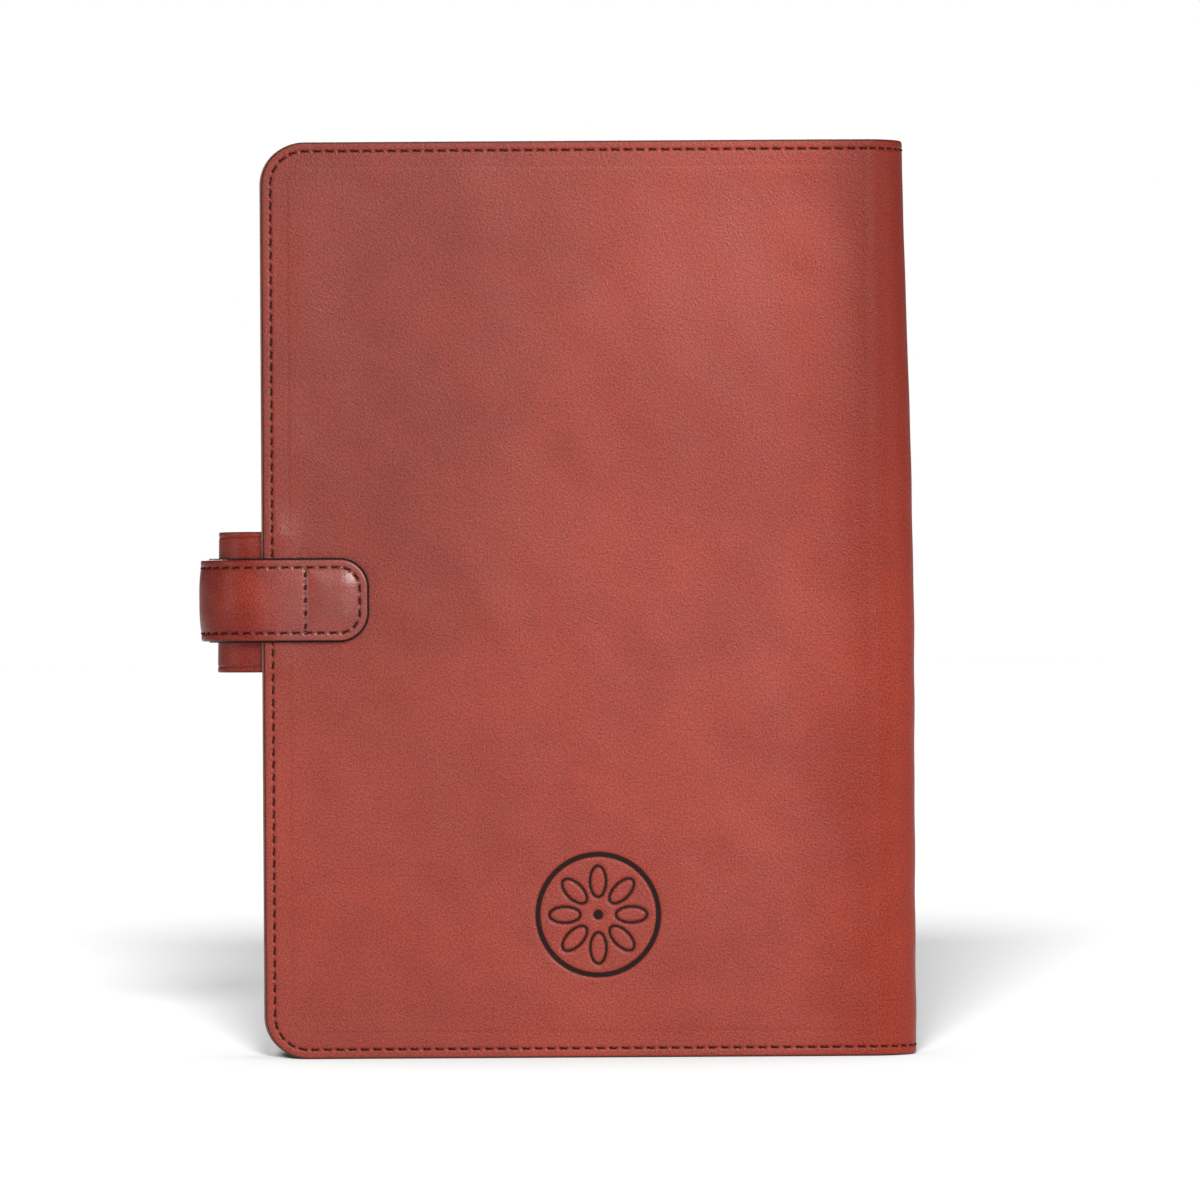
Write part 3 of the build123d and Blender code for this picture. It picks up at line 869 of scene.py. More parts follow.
def emblem_distance(s, z):
    """Distance from the lines of the pressed emblem, negative on them."""
    x, y = s - EMBLEM_S, z - EMBLEM_Z
    radius = np.hypot(x, y)
    ring = np.abs(radius - EMBLEM_RADIUS + RING_HALF) - RING_HALF
    angle = np.mod(np.arctan2(x, y) + math.pi / PETALS, 2 * math.pi / PETALS) - math.pi / PETALS
    across, out = radius * np.sin(angle), radius * np.cos(angle) - PETAL_CENTRE
    oval = np.maximum(np.hypot(across / PETAL_WIDE, out / PETAL_LONG), 1e-6)
    slope = np.maximum(np.hypot(across / PETAL_WIDE**2, out / PETAL_LONG**2) / oval, 1e-6)
    petal = np.abs((oval - 1) / slope) - LINE_HALF
    return np.minimum(np.minimum(ring, petal), radius - DOT_RADIUS)


def emblem_groove(s, z):
    """The pressed lines, with a soft shallow shoulder on both sides."""
    distance = emblem_distance(s, z)
    return 0.085 * smooth(0.75, 0.10, distance) + 0.27 * smooth(0.20, -0.06, distance)


def emblem_tone(s, z):
    """The burnt colour of the pressed lines."""
    return smooth(0.05, -0.08, emblem_distance(s, z))


def loop_swelling(s, z):
    """The leather rises a little over the pen loop's tail, which is sewn in under it."""
    low, high = box_mm("pen_loop")
    middle, half = (low[2] + high[2]) / 2, (high[2] - low[2]) / 2
    over_tail = smooth(half + 1.8, half - 1.4, np.abs(z - middle)) * smooth(9.5, 4.0, s)
    corner_bump = bell(np.hypot(s - 3.6, z - high[2] - 0.2), 4.2) * 0.60
    return over_tail * 0.30 + corner_bump


def past_turn(wrap, s):
    """How far a place lies past the nearer end of a wrap's turn, negative on its flat stretches."""
    return np.minimum(s, 2 * wrap.flat + wrap.arc - s) - wrap.flat


def on_flat(s):
    """1 on the two flat covers, 0 round the spine."""
    return smooth(-2.0, -7.0, past_turn(COVER, s))


def cover_face(s, z):
    """Depth of the cover's outer face before it is stitched and pressed, on the whole developed sheet."""
    distance = COVER_OUTLINE.edge_distance(s, z)
    near, flat = past_turn(COVER, s), on_flat(s)
    skived = 0.5 * smooth(-13.0, 0.5, near) * smooth(COVER.arc * 0.42, COVER.arc * 0.12, near)
    rim = 0.05 - 0.05 * smooth(6.1, 7.1, distance) + bell(distance - 6.35, 0.35) * 0.02
    uneven = 0.13 * swell(s, z) * (0.3 + 0.7 * flat) + 0.035 * ripple(s, z)
    depth = rounded_edge(distance, 0.75) + skived + rim * flat + smooth(2.8, 12.0, distance) * uneven
    return depth - loop_swelling(s, z)


def cover_outer(s, z):
    """Depth of the cover's finished outer face."""
    return cover_face(s, z) + stitch_dent(COVER_OUTLINE, s, z) + emblem_groove(s, z)


def edge_tone(outline, low=DYE_SOLID, high=DYE_END):
    """Dark dye on the last part of a millimetre before the cut."""
    return lambda s, z: smooth(high, low, outline.edge_distance(s, z))


def painted_groove_shade_tone(outline):
    """Painted shade in the dents that the thread pulls into the leather."""
    return lambda s, z: np.clip(stitch_dent(outline, s, z) / DEEPEST_DENT, 0, 1) ** 2


def dull_tone(wrap, before, most):
    """Less shine where the sheet turns, from a little before it."""
    return lambda s, z: most * smooth(-before, 5.0, past_turn(wrap, s)) + 0 * z


def painted_shade_tone(s, z):
    """Painted shade: the colour is a little darker towards the free edge, most of all above the strap."""
    near = np.minimum(s, COVER_LENGTH - s)
    return smooth(125.0, 15.0, near) * (0.25 + 0.75 * smooth(60.0, 150.0, z))


def painted_spine_shade_tone(s, z):
    """Where the cover turns into the spine the colour is darker with painted shade, most of all near the top; the dull
    layer makes it duller there too.
    """
    return smooth(-17.0, 3.0, past_turn(COVER, s)) * (0.30 + 0.70 * smooth(90.0, 200.0, z))


def level(depth):
    """A face at one depth."""
    return lambda s, z: np.full(np.broadcast(s, z).shape, float(depth))


def emblem_points():
    """Rings of points round the emblem, close together where its lines run."""
    dot, petals = np.arange(1.0, 1.41, 0.1), np.arange(3.4, 13.0, 0.2)
    ring_in, ring_out = np.arange(13.9, 14.41, 0.08), np.arange(15.2, 15.76, 0.08)
    radii = np.concatenate([[0.4, 0.8], dot, [1.8, 2.4, 3.0], petals, [13.4, 13.75], ring_in, [14.6, 15.0],
                            ring_out, [16.1, 16.8, 17.6]])
    rings = [np.array([[0.0, 0.0]])]
    for radius in radii:
        count = int(np.clip(round(2 * math.pi * radius / 0.22 / 16) * 16, 16, 288))
        angle = np.arange(count) * 2 * math.pi / count
        rings.append(np.stack([radius * np.sin(angle), radius * np.cos(angle)], 1))
    return np.concatenate(rings) + np.array([EMBLEM_S, EMBLEM_Z])


def outside_emblem(points):
    """Which points lie beyond the emblem's own rings of points."""
    return np.hypot(points[:, 0] - EMBLEM_S, points[:, 1] - EMBLEM_Z) > 18.4


def sheet_piece(name, wrap, outer_set, inner_set, outer, inner, material, outer_tones=None, inner_tones=None):
    """A closed sheet: its outer face, its inner face and its cut edge, which follows the face with tones and
    the more points. A set is points and the number of them that are its outline."""
    mesher = Mesher()
    add_face(mesher, wrap, outer_set[0], outer, True, **(outer_tones or {}))
    add_face(mesher, wrap, inner_set[0], inner, False, **(inner_tones or {}))
    points, count = outer_set if outer_tones else inner_set
    add_wall(mesher, wrap, points[:count], outer, inner, edge=1.0)
    return mesher.build(name, material)


def dress(piece, slot, *nodes):
    """Says which finish a piece has and which CAD nodes it stands for."""
    if nodes:
        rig.replaces(piece, *nodes)
    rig.slot(piece, slot)


def fix(piece, body, slot, *nodes):
    """Puts a piece on one body, and dresses it."""
    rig.ride(piece, body)
    dress(piece, slot, *nodes)


# A sheet: its wrap and outline, where its folds begin and end, the bodies that they join, the step of its
# grid of points, and the columns of points in each fold.
COVER_SHEET = (COVER, COVER_OUTLINE, FOLD_S, SPINE_CHAIN, GRID_STEP, 24)
STRAP_SHEET = (STRAP, STRAP_OUTLINE, STRAP_FOLD_S, STRAP_CHAIN, STRAP_STEP, 32)


def fold_pieces(name, node, slot, sheet, rows, outer, inner, material, depth, outer_tones=None,
                inner_tones=None):
    """One layer of a sheet over its four folds. Each bends between two bodies. depth is its inner face's."""
    wrap, outline, folds_s, chain, step, columns = sheet
    heights = seam_heights(outline, rows, step)
    for number in range(FOLDS):
        points = fold_points(*folds_s[number:number + 2], heights, columns)
        piece = sheet_piece(f"{name}_fold_{number + 1}", wrap, points, points, outer, inner, material,
                            outer_tones, inner_tones)
        blend_fold(piece, wrap, heights, folds_s, chain, number, depth)
        dress(piece, slot, f"{node}_{min(number + 1, FOLDS - 1)}")


def cover_leather():
    """The outer leather: two panels and four folds across the spine."""
    # The tones paint shade into the colour: in the stitch dents, where the cover turns into the spine, and towards the
    # free edges and the top.
    tones = {"edge": edge_tone(COVER_OUTLINE), "groove": painted_groove_shade_tone(COVER_OUTLINE), "burnish": painted_spine_shade_tone,
             "dull": dull_tone(COVER, 32.0, 0.65), "patina": painted_shade_tone}
    for side, mirrored in (("back", False), ("front", True)):
        extra, keep = (None, None) if mirrored else (emblem_points(), outside_emblem)
        fine = panel_points(COVER_OUTLINE, COVER.flat, EDGE_ROWS, GRID_STEP, mirrored, extra, keep)
        plain = panel_points(COVER_OUTLINE, COVER.flat, PLAIN_ROWS, GRID_STEP, mirrored)
        side_tones = tones if mirrored else dict(tones, mark=emblem_tone)
        piece = sheet_piece(f"{side}_cover_leather", COVER, fine, plain, cover_outer, level(LEATHER),
                            COVER_LEATHER, side_tones)
        fix(piece, f"{side}_cover", "cover_leather", f"{side}_leather")
    fold_pieces("spine_leather", "spine_leather", "cover_leather", COVER_SHEET, EDGE_ROWS, cover_outer,
                level(LEATHER), COVER_LEATHER, LEATHER, tones)


def lip(points, count):
    """The lining's free edge stands a little proud of the leather's."""
    moved = points.copy()
    near = COVER_LENGTH / 2 - np.abs(points[:, 0] - COVER_LENGTH / 2)
    moved[:, 0] += np.sign(points[:, 0] - COVER_LENGTH / 2) * LINING_LIP * smooth(9.0, 0.0, near)
    return moved, count


def lining_outer(s, z):
    """The lining's hidden face, sewn down at the rim and raised over the board."""
    board = smooth(5.4, 6.5, COVER_OUTLINE.edge_distance(s, z))
    return LEATHER + (LINING_FACE - LINING - LEATHER) * board * on_flat(s)


def lining_inner(s, z):
    """The lining's visible face, drawn in a little by the stitches."""
    distance = COVER_OUTLINE.edge_distance(s, z)
    depth = lining_outer(s, z) + LINING - rounded_edge(distance + LINING_LIP, 0.3)
    return depth - 0.6 * stitch_dent(COVER_OUTLINE, s, z) + 0.03 * ripple(s, z) * smooth(3, 8, distance)


def cover_lining():
    """The lining: two panels and four folds inside the spine."""
    tones = {"groove": painted_groove_shade_tone(COVER_OUTLINE), "edge": edge_tone(COVER_OUTLINE, 0.0, 0.5)}
    for side, mirrored in (("back", False), ("front", True)):
        fine = panel_points(COVER_OUTLINE, COVER.flat, EDGE_ROWS, GRID_STEP, mirrored)
        plain = panel_points(COVER_OUTLINE, COVER.flat, PLAIN_ROWS, GRID_STEP, mirrored)
        piece = sheet_piece(f"{side}_cover_lining", COVER, lip(*plain), lip(*fine), lining_outer,
                            lining_inner, LINING_SKIN, inner_tones=tones)
        fix(piece, f"{side}_cover", "lining", f"{side}_lining")
    fold_pieces("spine_lining", "spine_lining", "lining", COVER_SHEET, EDGE_ROWS, lining_outer, lining_inner,
                LINING_SKIN, LINING_FACE, inner_tones=tones)


# ---------------------------------------------------------------- thread

THREAD_ROWS, THREAD_SIDES = 9, 6


def thread(name, wrap, path, centres, face, sink):
    """Stitches along a path. Each lies on a face and dives into it at both ends. sink is 1 on a face that is
    seen from outside and -1 on one that is seen from inside."""
    t = np.linspace(-1, 1, THREAD_ROWS)
    along = np.asarray(centres)[:, None] + t * STITCH_LENGTH / 2
    across = np.broadcast_to(t * STITCH_LENGTH / 2 * STITCH_TILT, along.shape)
    s, z = path(along, across)
    dive = -0.04 + 0.55 * smooth(0.62, 1.0, np.abs(t)) + 0.05 * np.abs(t)
    depth = face(s, z) + sink * dive
    spine = wrap.place(s, z, depth)
    tangent = np.gradient(spine, axis=1)
    normal = (wrap.place(s, z, depth - sink * 0.2) - spine) / 0.2
    side = np.cross(tangent, normal)
    side /= np.linalg.norm(side, axis=-1, keepdims=True)
    turn = np.arange(THREAD_SIDES) * 2 * math.pi / THREAD_SIDES
    ring = (side[:, :, None] * np.cos(turn)[None, None, :, None]
            + normal[:, :, None] * np.sin(turn)[None, None, :, None]) * THREAD_RADIUS
    verts = (spine[:, :, None] + ring).reshape(-1, 3)
    one = tube_faces(THREAD_ROWS, THREAD_SIDES)
    starts = range(0, len(verts), THREAD_ROWS * THREAD_SIDES)
    faces = [tuple(start + v for v in face) for start in starts for face in one]
    uv = np.repeat(np.stack([s, z], -1).reshape(-1, 2), THREAD_SIDES, axis=0)
    piece = make_object(name, verts, faces, uv, material=THREAD)
    if sink < 0:
        piece.data.flip_normals()
    return piece


def sew(name, slot, sheet, face, sink, phase, depth, skip=()):
    """All the stitches round a sheet, split where it folds."""
    wrap, outline, folds_s, chain, *_ = sheet
    centres = (np.arange(outline.stitches) + phase) * outline.pitch
    s, _ = outline.stitch_point(centres)
    limits = [-1.0, *folds_s, 1e9]
    for number, (low, high) in enumerate(zip(limits, limits[1:])):
        chosen = centres[(s >= low) & (s < high)]
        if number in skip or not len(chosen):
            continue
        piece = thread(f"{name}_{number + 1}", wrap, outline.stitch_point, chosen, face, sink)
        if 0 < number <= FOLDS:
            blend_fold(piece, wrap, (outline.z_low, outline.z_high), folds_s, chain, number - 1, depth)
        else:
            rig.ride(piece, chain[min(number, FOLDS)])
        dress(piece, slot)


def straight(s_a, z_a, s_b, z_b):
    """A straight stitch line, and the places of its stitches."""
    length = math.hypot(s_b - s_a, z_b - z_a)
    c, n = (s_b - s_a) / length, (z_b - z_a) / length
    count = max(1, round(length / STITCH_PITCH))

    def path(u, across):
        """The place at distance u along the line, moved sideways by across."""
        return s_a + u * c - across * n, z_a + u * n + across * c

    return path, (np.arange(count) + 0.5) * length / count


# ---------------------------------------------------------------- the strap

def pillow(s, z):
    """The padded end of the strap, held down by the stitch lines round it."""
    room = np.minimum(STRAP_OUTLINE.edge_distance(s, z) - STRAP_STITCH_INSET - 0.2, CROSS_S - 0.3 - s)
    return rise(room, 5.2)


def cross_dent(s, z):
    """The dent of the stitch line that crosses the strap."""
    inside = smooth(STRAP_STITCH_INSET - 0.3, STRAP_STITCH_INSET + 0.3, STRAP_OUTLINE.edge_distance(s, z))
    phase = np.mod((z - strap_low[2]) / STITCH_PITCH, 1.0) - 0.5
    hole = bell((np.abs(phase) - HOLE_AT) * STITCH_PITCH, HOLE_WIDTH)
    return inside * (bell(s - CROSS_S, 0.42) * 0.18 + bell(s - CROSS_S, 0.34) * hole * 0.22)


def strap_face(s, z):
    """The strap's outer face before it is stitched."""
    distance = STRAP_OUTLINE.edge_distance(s, z)
    crown = rise(distance - STRAP_STITCH_INSET, 6.0)
    turn = smooth(-2, 8, s - STRAP.flat) * smooth(2, -8, s - STRAP.flat - STRAP.arc)
    return (rounded_edge(distance, 0.6) - crown * (0.16 + 0.25 * turn) - 0.75 * turn - 0.75 * pillow(s, z)
            + 0.03 * ripple(s, z))


def strap_outer(s, z):
    """The strap's finished outer face."""
    return strap_face(s, z) + 0.9 * stitch_dent(STRAP_OUTLINE, s, z) + cross_dent(s, z)


def backing_inner(s, z):
    """The strap's finished inner face."""
    distance = STRAP_OUTLINE.edge_distance(s, z)
    return STRAP_THICKNESS - rounded_edge(distance + 0.3, 0.3) - 0.5 * stitch_dent(STRAP_OUTLINE, s, z)


def strap_painted_groove_shade(s, z):
    """Painted shade in the dents that the thread pulls into the strap."""
    return np.clip((stitch_dent(STRAP_OUTLINE, s, z) + cross_dent(s, z)) / DEEPEST_DENT, 0, 1)


def strap():
    """The strap: leather over a backing, in a fixed end, four folds and a loose end."""
    tones = {"edge": edge_tone(STRAP_OUTLINE, 0.08, 0.34), "groove": strap_painted_groove_shade,
             "dull": dull_tone(STRAP, 10.0, 0.8)}
    dark = {"edge": edge_tone(STRAP_OUTLINE, -0.2, 0.2), "groove": painted_groove_shade_tone(STRAP_OUTLINE)}
    # All that shows of the backing's outer face is a narrow dyed rim round the leather.
    rim = {"edge": 0.95}
    far_end = STRAP_LENGTH - STRAP.flat - STRAP.arc
    cross = grid(CROSS_S + np.array([-0.75, -0.5, -0.3, -0.15, 0, 0.15, 0.3, 0.5, 0.75]),
                 np.arange(strap_low[2] + 3.2, strap_high[2] - 3.1, FINE))

    def beside_cross(points):
        """Which points lie away from the cross stitches' own points."""
        near_rim = STRAP_OUTLINE.edge_distance(points[:, 0], points[:, 1]) < 3.1
        return (np.abs(points[:, 0] - CROSS_S) > 0.85) | near_rim

    ends = (("root", STRAP.flat, "back_cover", cross, beside_cross),
            ("tip", far_end, "strap_tip", None, None))
    for end, s_end, body, extra, keep in ends:
        mirrored = end == "tip"
        skin = panel_points(STRAP_OUTLINE, s_end, STRAP_ROWS, STRAP_STEP, mirrored, extra, keep)
        under = panel_points(STRAP_OUTLINE, s_end, BACKING_ROWS, STRAP_STEP, mirrored)
        piece = sheet_piece(f"strap_{end}_skin", STRAP, skin, skin, strap_outer, level(STRAP_LEATHER),
                            STRAP_SKIN, tones)
        fix(piece, body, "strap_leather", f"strap_{end}_leather")
        piece = sheet_piece(f"strap_{end}_lining", STRAP, under, under, level(STRAP_LEATHER), backing_inner,
                            BACKING_SKIN, rim, dark)
        fix(piece, body, "strap_backing", f"strap_{end}_backing")
    fold_pieces("strap_skin", "strap_leather", "strap_leather", STRAP_SHEET, STRAP_ROWS, strap_outer,
                level(STRAP_LEATHER), STRAP_SKIN, STRAP_LEATHER, tones)
    fold_pieces("strap_lining", "strap_backing", "strap_backing", STRAP_SHEET, BACKING_ROWS,
                level(STRAP_LEATHER), backing_inner, BACKING_SKIN, STRAP_THICKNESS, rim, dark)


# ---------------------------------------------------------------- bands and turned parts

def band(name, outer_line, thickness, z_low, z_high, material, rounding=0.35, crease=None):
    """A strip with rounded edges. An open line in X and Y is its outer side. It may have a pressed line, the
    crease, at this distance from each edge."""
    line = np.asarray(outer_line, float)
    thickness = np.broadcast_to(thickness, len(line)).astype(float)
    tangent = np.gradient(line, axis=0)
    tangent /= np.linalg.norm(tangent, axis=1, keepdims=True)
    inward = np.stack([tangent[:, 1], -tangent[:, 0]], 1)
    near = [0.0, 0.08, 0.2, 0.4, 0.8, 1.0, 1.2, 1.4, 1.6, 1.8, 2.2]
    middle = np.linspace(z_low + near[-1], z_high - near[-1], 25)[1:-1]
    z = np.concatenate([z_low + np.array(near), middle, (z_high - np.array(near))[::-1]])
    inside = np.minimum(z - z_low, z_high - z)
    outer = rounded_edge(inside, rounding) + (0 if crease is None else 0.13 * bell(inside - crease, 0.22))
    share = np.minimum(thickness / thickness.max(), 1)[:, None]
    top = outer[None, :] * share
    bottom = thickness[:, None] - rounded_edge(inside, rounding)[None, :] * share
    depth = np.concatenate([top, bottom[:, ::-1]], 1)
    heights = np.concatenate([z, z[::-1]])
    size = len(heights)
    xy = line[:, None, :] + inward[:, None, :] * depth[:, :, None]
    verts = np.concatenate([xy, np.broadcast_to(heights, xy.shape[:2])[:, :, None]], 2).reshape(-1, 3)
    run = np.concatenate([[0], np.cumsum(np.linalg.norm(np.diff(line, axis=0), axis=1))])
    uv = np.stack([np.repeat(run, size), np.tile(heights, len(line))], 1)
    edge = np.tile(np.maximum(smooth(0.32, 0.06, np.concatenate([inside, inside[::-1]])), 0), len(line))
    # Painted shade in the pressed line near each edge.
    groove = 0 if crease is None else bell(np.concatenate([inside - crease, 9 + inside]), 0.22) * 0.8
    layers = {"edge": edge, "groove": np.tile(np.broadcast_to(groove, size), len(line))}
    piece = make_object(name, verts, tube_faces(len(line), size), uv, layers, material=material)
    tidy_normals(piece)
    return piece


def tidy_normals(piece, sharp=40):
    """Faces outwards, and a sharp edge wherever the surface turns quickly."""
    mesh = bmesh.new()
    mesh.from_mesh(piece.data)
    bmesh.ops.recalc_face_normals(mesh, faces=mesh.faces)
    mesh.to_mesh(piece.data)
    mesh.free()
    piece.data.set_sharp_from_angle(angle=math.radians(sharp))


# The pen loop: a tube with these radii inside and outside, moved out and leaning a little from the CAD's.
# It turns this many degrees round from its tail, and its end is skived away to nothing over the last few.
LOOP_BORE, LOOP_RADIUS = 7.0, 8.4
LOOP_SHIFT, LOOP_TAIL_X = 0.9, -75.2
LOOP_LEAN = math.tan(math.radians(0.8))
LOOP_TURN, LOOP_SKIVE = 332, 326.4
TAIL_POINTS = 12


def pen_loop():
    """A band of leather rolled into a tube. Its tail is sewn under the sleeve, and its skived end lies on the
    tail."""
    low, high = box_mm("pen_loop")
    centre_x, centre_y = low[0] + LOOP_RADIUS - LOOP_SHIFT, low[1] + LOOP_RADIUS
    tail = np.stack([np.linspace(LOOP_TAIL_X, centre_x, TAIL_POINTS), np.full(TAIL_POINTS, low[1])], 1)
    turn = np.radians(np.linspace(-90, -90 - LOOP_TURN, 150)[1:])
    radius = np.where(turn > math.radians(-90 - LOOP_SKIVE), LOOP_RADIUS, LOOP_BORE / np.abs(np.sin(turn)))
    ring = np.stack([centre_x + radius * np.cos(turn), centre_y + radius * np.sin(turn)], 1)
    full = np.full(TAIL_POINTS, LOOP_RADIUS - LOOP_BORE)
    thickness = np.concatenate([full, np.maximum(radius - LOOP_BORE, 0.05)])
    line = np.concatenate([tail, ring])
    piece = band("pen_loop_band", line, thickness, low[2], high[2], LOOP_SKIN, crease=1.4)
    middle = (low[2] + high[2]) / 2 * MM
    for vertex in piece.data.vertices:
        vertex.co.x += (vertex.co.z - middle) * LOOP_LEAN
    fix(piece, "back_cover", "loop_leather", "pen_loop")


def lathe(name, profile, body, node):
    """A round part on the stud's axis, from (radius, Y) points."""
    segments = 72
    profile = np.array(profile, float)
    turn = np.arange(segments) * 2 * math.pi / segments
    x = STUD_CENTRE[0] + profile[:, 0, None] * np.cos(turn)
    z = STUD_CENTRE[2] + profile[:, 0, None] * np.sin(turn)
    y = np.broadcast_to(profile[:, 1, None], x.shape)
    verts = np.stack([x, y, z], -1).reshape(-1, 3)
    piece = make_object(name, verts, tube_faces(len(profile), segments), verts[:, [0, 2]], material=BRASS)
    tidy_normals(piece, 50)
    fix(piece, body, "snap_metal", node)


def press_stud():
    """The cap and socket on the strap, and the stud on the front cover. Each profile is written as radii and
    heights, measured from the place it is then moved to."""
    cap, socket, stud = (box_mm(node) for node in ("snap_cap", "snap_socket", "snap_stud"))
    top, seat, under = cap[1][1], tip_high[1], cap[0][1]
    dome = [(0.02, 0.0), (1.5, 0.03), (3.0, 0.14), (4.2, 0.36), (4.6, 0.52), (4.75, 0.66), (4.95, 0.6),
            (5.4, 0.62), (5.9, 0.85), (6.2, 1.15), (6.15, 1.45)]
    shank = [(5.9, seat), (1.6, seat), (1.6, under), (0.02, under)]
    lathe("snap_cap_dome", [(r, top - drop) for r, drop in dome] + shank, "strap_tip", "snap_cap")
    mouth, floor = socket[0][1], socket[1][1]
    hollow = [(0.02, floor - 0.6), (3.25, floor - 0.6), (3.3, floor - 1.5)]
    lips = [(3.0, 0.45), (3.2, 0.1), (3.6, 0.0), (4.7, 0.0), (5.2, 0.15), (5.4, 0.5), (5.25, 0.9), (4.7, 1.2),
            (4.6, 1.5), (5.1, 1.8)]
    back = [(5.4, floor - 0.15), (5.3, floor), (0.02, floor)]
    lathe("snap_socket_ring", hollow + [(r, mouth + up) for r, up in lips] + back, "strap_tip", "snap_socket")
    base, tip = stud[0][1], stud[1][1]
    knob = [(0.02, 0.0), (4.8, 0.0), (5.0, 0.15), (4.9, 0.36), (4.5, 0.48), (3.9, 0.42), (3.3, 0.48),
            (2.5, 0.55), (1.95, 0.8), (1.9, 1.15), (2.3, 1.45), (2.28, 1.75)]
    crown = [(2.0, tip - 0.1), (1.2, tip - 0.01), (0.02, tip)]
    lathe("snap_stud_knob", [(r, base + up) for r, up in knob] + crown, "front_cover", "snap_stud")


# ---------------------------------------------------------------- inside: sleeve, pocket, card slots

TAIL_LOW, TAIL_HIGH = box_mm("pen_loop")[0][2], box_mm("pen_loop")[1][2]
BOARD_LOW, BOARD_HIGH = box_mm("refill_board")
SLEEVE_S = COVER.at_x(box_mm("back_sleeve")[1][0])
POCKET_S = COVER.at_x(box_mm("front_pocket")[1][0])
SLEEVE, POCKET, SLOT = 1.0, 0.9, 0.8
NOTCH_RADIUS = 9.0
RIM = LEATHER + LINING


def sleeve_outer(s, z):
    """The sleeve's hidden face: down at the rim, up over the refill's board, and over the pen loop's tail."""
    left, low, high = BOARD_LOW[0] - FREE_X, BOARD_LOW[2], BOARD_HIGH[2]
    over = np.minimum(smooth(left - 2.6, left - 0.2, s),
                      np.minimum(smooth(low - 2.8, low - 0.2, z), smooth(high + 2.8, high + 0.2, z)))
    tail = smooth(6.4, 4.6, s) * smooth(TAIL_LOW - 2.2, TAIL_LOW - 0.1, z)
    tail = tail * smooth(TAIL_HIGH + 2.2, TAIL_HIGH + 0.1, z)
    return RIM + np.maximum((BOARD_HIGH[1] + 0.1 - RIM) * over, 1.45 * tail)


def finished(hidden, thickness, free, s, z):
    """A flap's visible face: rounded edges, stitch dents, and a pressed line along its free edge."""
    distance = np.minimum(COVER_OUTLINE.edge_distance(s, z), free)
    crease = 0.10 * bell(free - 2.0, 0.3)
    return (hidden + thickness - rounded_edge(distance, 0.35) - crease
            - 0.6 * stitch_dent(COVER_OUTLINE, s, z) + 0.03 * ripple(s, z))


def sleeve_inner(s, z):
    """The sleeve's visible face."""
    return finished(sleeve_outer(s, z), SLEEVE, SLEEVE_S - s, s, z) + 0.01 * ripple(s, z)


def pocket_outer(s, z):
    """The pocket's hidden face, down at the rim and raised over the board."""
    board = smooth(4.4, 5.9, COVER_OUTLINE.edge_distance(s, z))
    return RIM + (LINING_FACE - RIM) * board


def pocket_inner(s, z):
    """The pocket's visible face."""
    return finished(pocket_outer(s, z), POCKET, s - COVER_LENGTH + POCKET_S, s, z)


def flap(name, node, body, s_end, mirrored, outer, inner):
    """An inner flap, sewn at the cover's rim and free along its straight edge."""
    near = np.array([0.1, 0.25, 0.45, 0.8, 1.3, 1.7, 1.85, 2.0, 2.15, 2.3, 2.7])
    heights = seam_heights(COVER_OUTLINE, EDGE_ROWS, GRID_STEP)
    columns = s_end - near
    extra = grid(COVER_LENGTH - columns if mirrored else columns, heights[1:-1])

    def free(s):
        """Distance in from the straight edge."""
        return s_end - (COVER_LENGTH - s if mirrored else s)

    def clear(points):
        """Which points lie away from the straight edge's own points."""
        return free(points[:, 0]) > 2.9

    fine = panel_points(COVER_OUTLINE, s_end, EDGE_ROWS, GRID_STEP, mirrored, extra, clear)
    plain = panel_points(COVER_OUTLINE, s_end, EDGE_ROWS[::3], GRID_STEP, mirrored)

    def edge(s, z):
        """Dark dye at every edge."""
        return np.maximum(edge_tone(COVER_OUTLINE)(s, z), smooth(DYE_END, DYE_SOLID, free(s)))

    def groove(s, z):
        """Painted shade in the stitch dents and the pressed line."""
        return np.maximum(painted_groove_shade_tone(COVER_OUTLINE)(s, z), 0.7 * bell(free(s) - 2.0, 0.3))

    piece = sheet_piece(name, COVER, plain, fine, outer, inner, INNER_LEATHER,
                        inner_tones={"edge": edge, "groove": groove})
    fix(piece, body, "inner_leather", node)


def slot_sheet(name, s_values, low, top, rows, face):
    """A card slot's leather on the pocket, from a straight low edge up to a top edge that may be curved."""
    s, t = np.meshgrid(s_values, rows)
    high = top(s)
    z = low + (high - low) * t
    below_top = (high - z) / np.sqrt(1 + np.gradient(top(s_values), s_values) ** 2)[None, :]
    distance = np.minimum(np.minimum(s - s_values[0], s_values[-1] - s), np.minimum(z - low, below_top))
    inside = face(s, z) - rounded_edge(distance, 0.3) - 0.08 * bell(below_top - 1.8, 0.25)
    size = s.size
    index = np.arange(size).reshape(s.shape)
    quads = np.stack([index[:-1, :-1], index[:-1, 1:], index[1:, 1:], index[1:, :-1]], -1).reshape(-1, 4)
    ring = np.concatenate([index[0, :-1], index[:-1, -1], index[-1, :0:-1], index[:0:-1, 0]])
    following = np.roll(ring, -1)
    wall = np.stack([ring, ring + size, following + size, following], 1)
    verts = [COVER.place(s, z, depth).reshape(-1, 3) for depth in (face(s, z) - SLOT, inside)]
    faces = np.concatenate([quads, quads[:, ::-1] + size, wall])
    uv = np.tile(np.stack([s, z], -1).reshape(-1, 2), (2, 1))
    edge = np.tile(smooth(DYE_END, DYE_SOLID, distance).ravel(), 2)
    piece = make_object(name, np.concatenate(verts), faces, uv, {"edge": edge}, material=INNER_LEATHER)
    tidy_normals(piece)
    return piece


def steps(low, high, step, near=(0.1, 0.3, 0.6, 1.0)):
    """Places between two ends, close together near both."""
    margin = near[-1] + step / 2
    inner = np.linspace(low + margin, high - margin, max(2, round((high - low) / step)))
    return np.concatenate([[low], low + np.array(near), inner, high - np.array(near)[::-1], [high]])


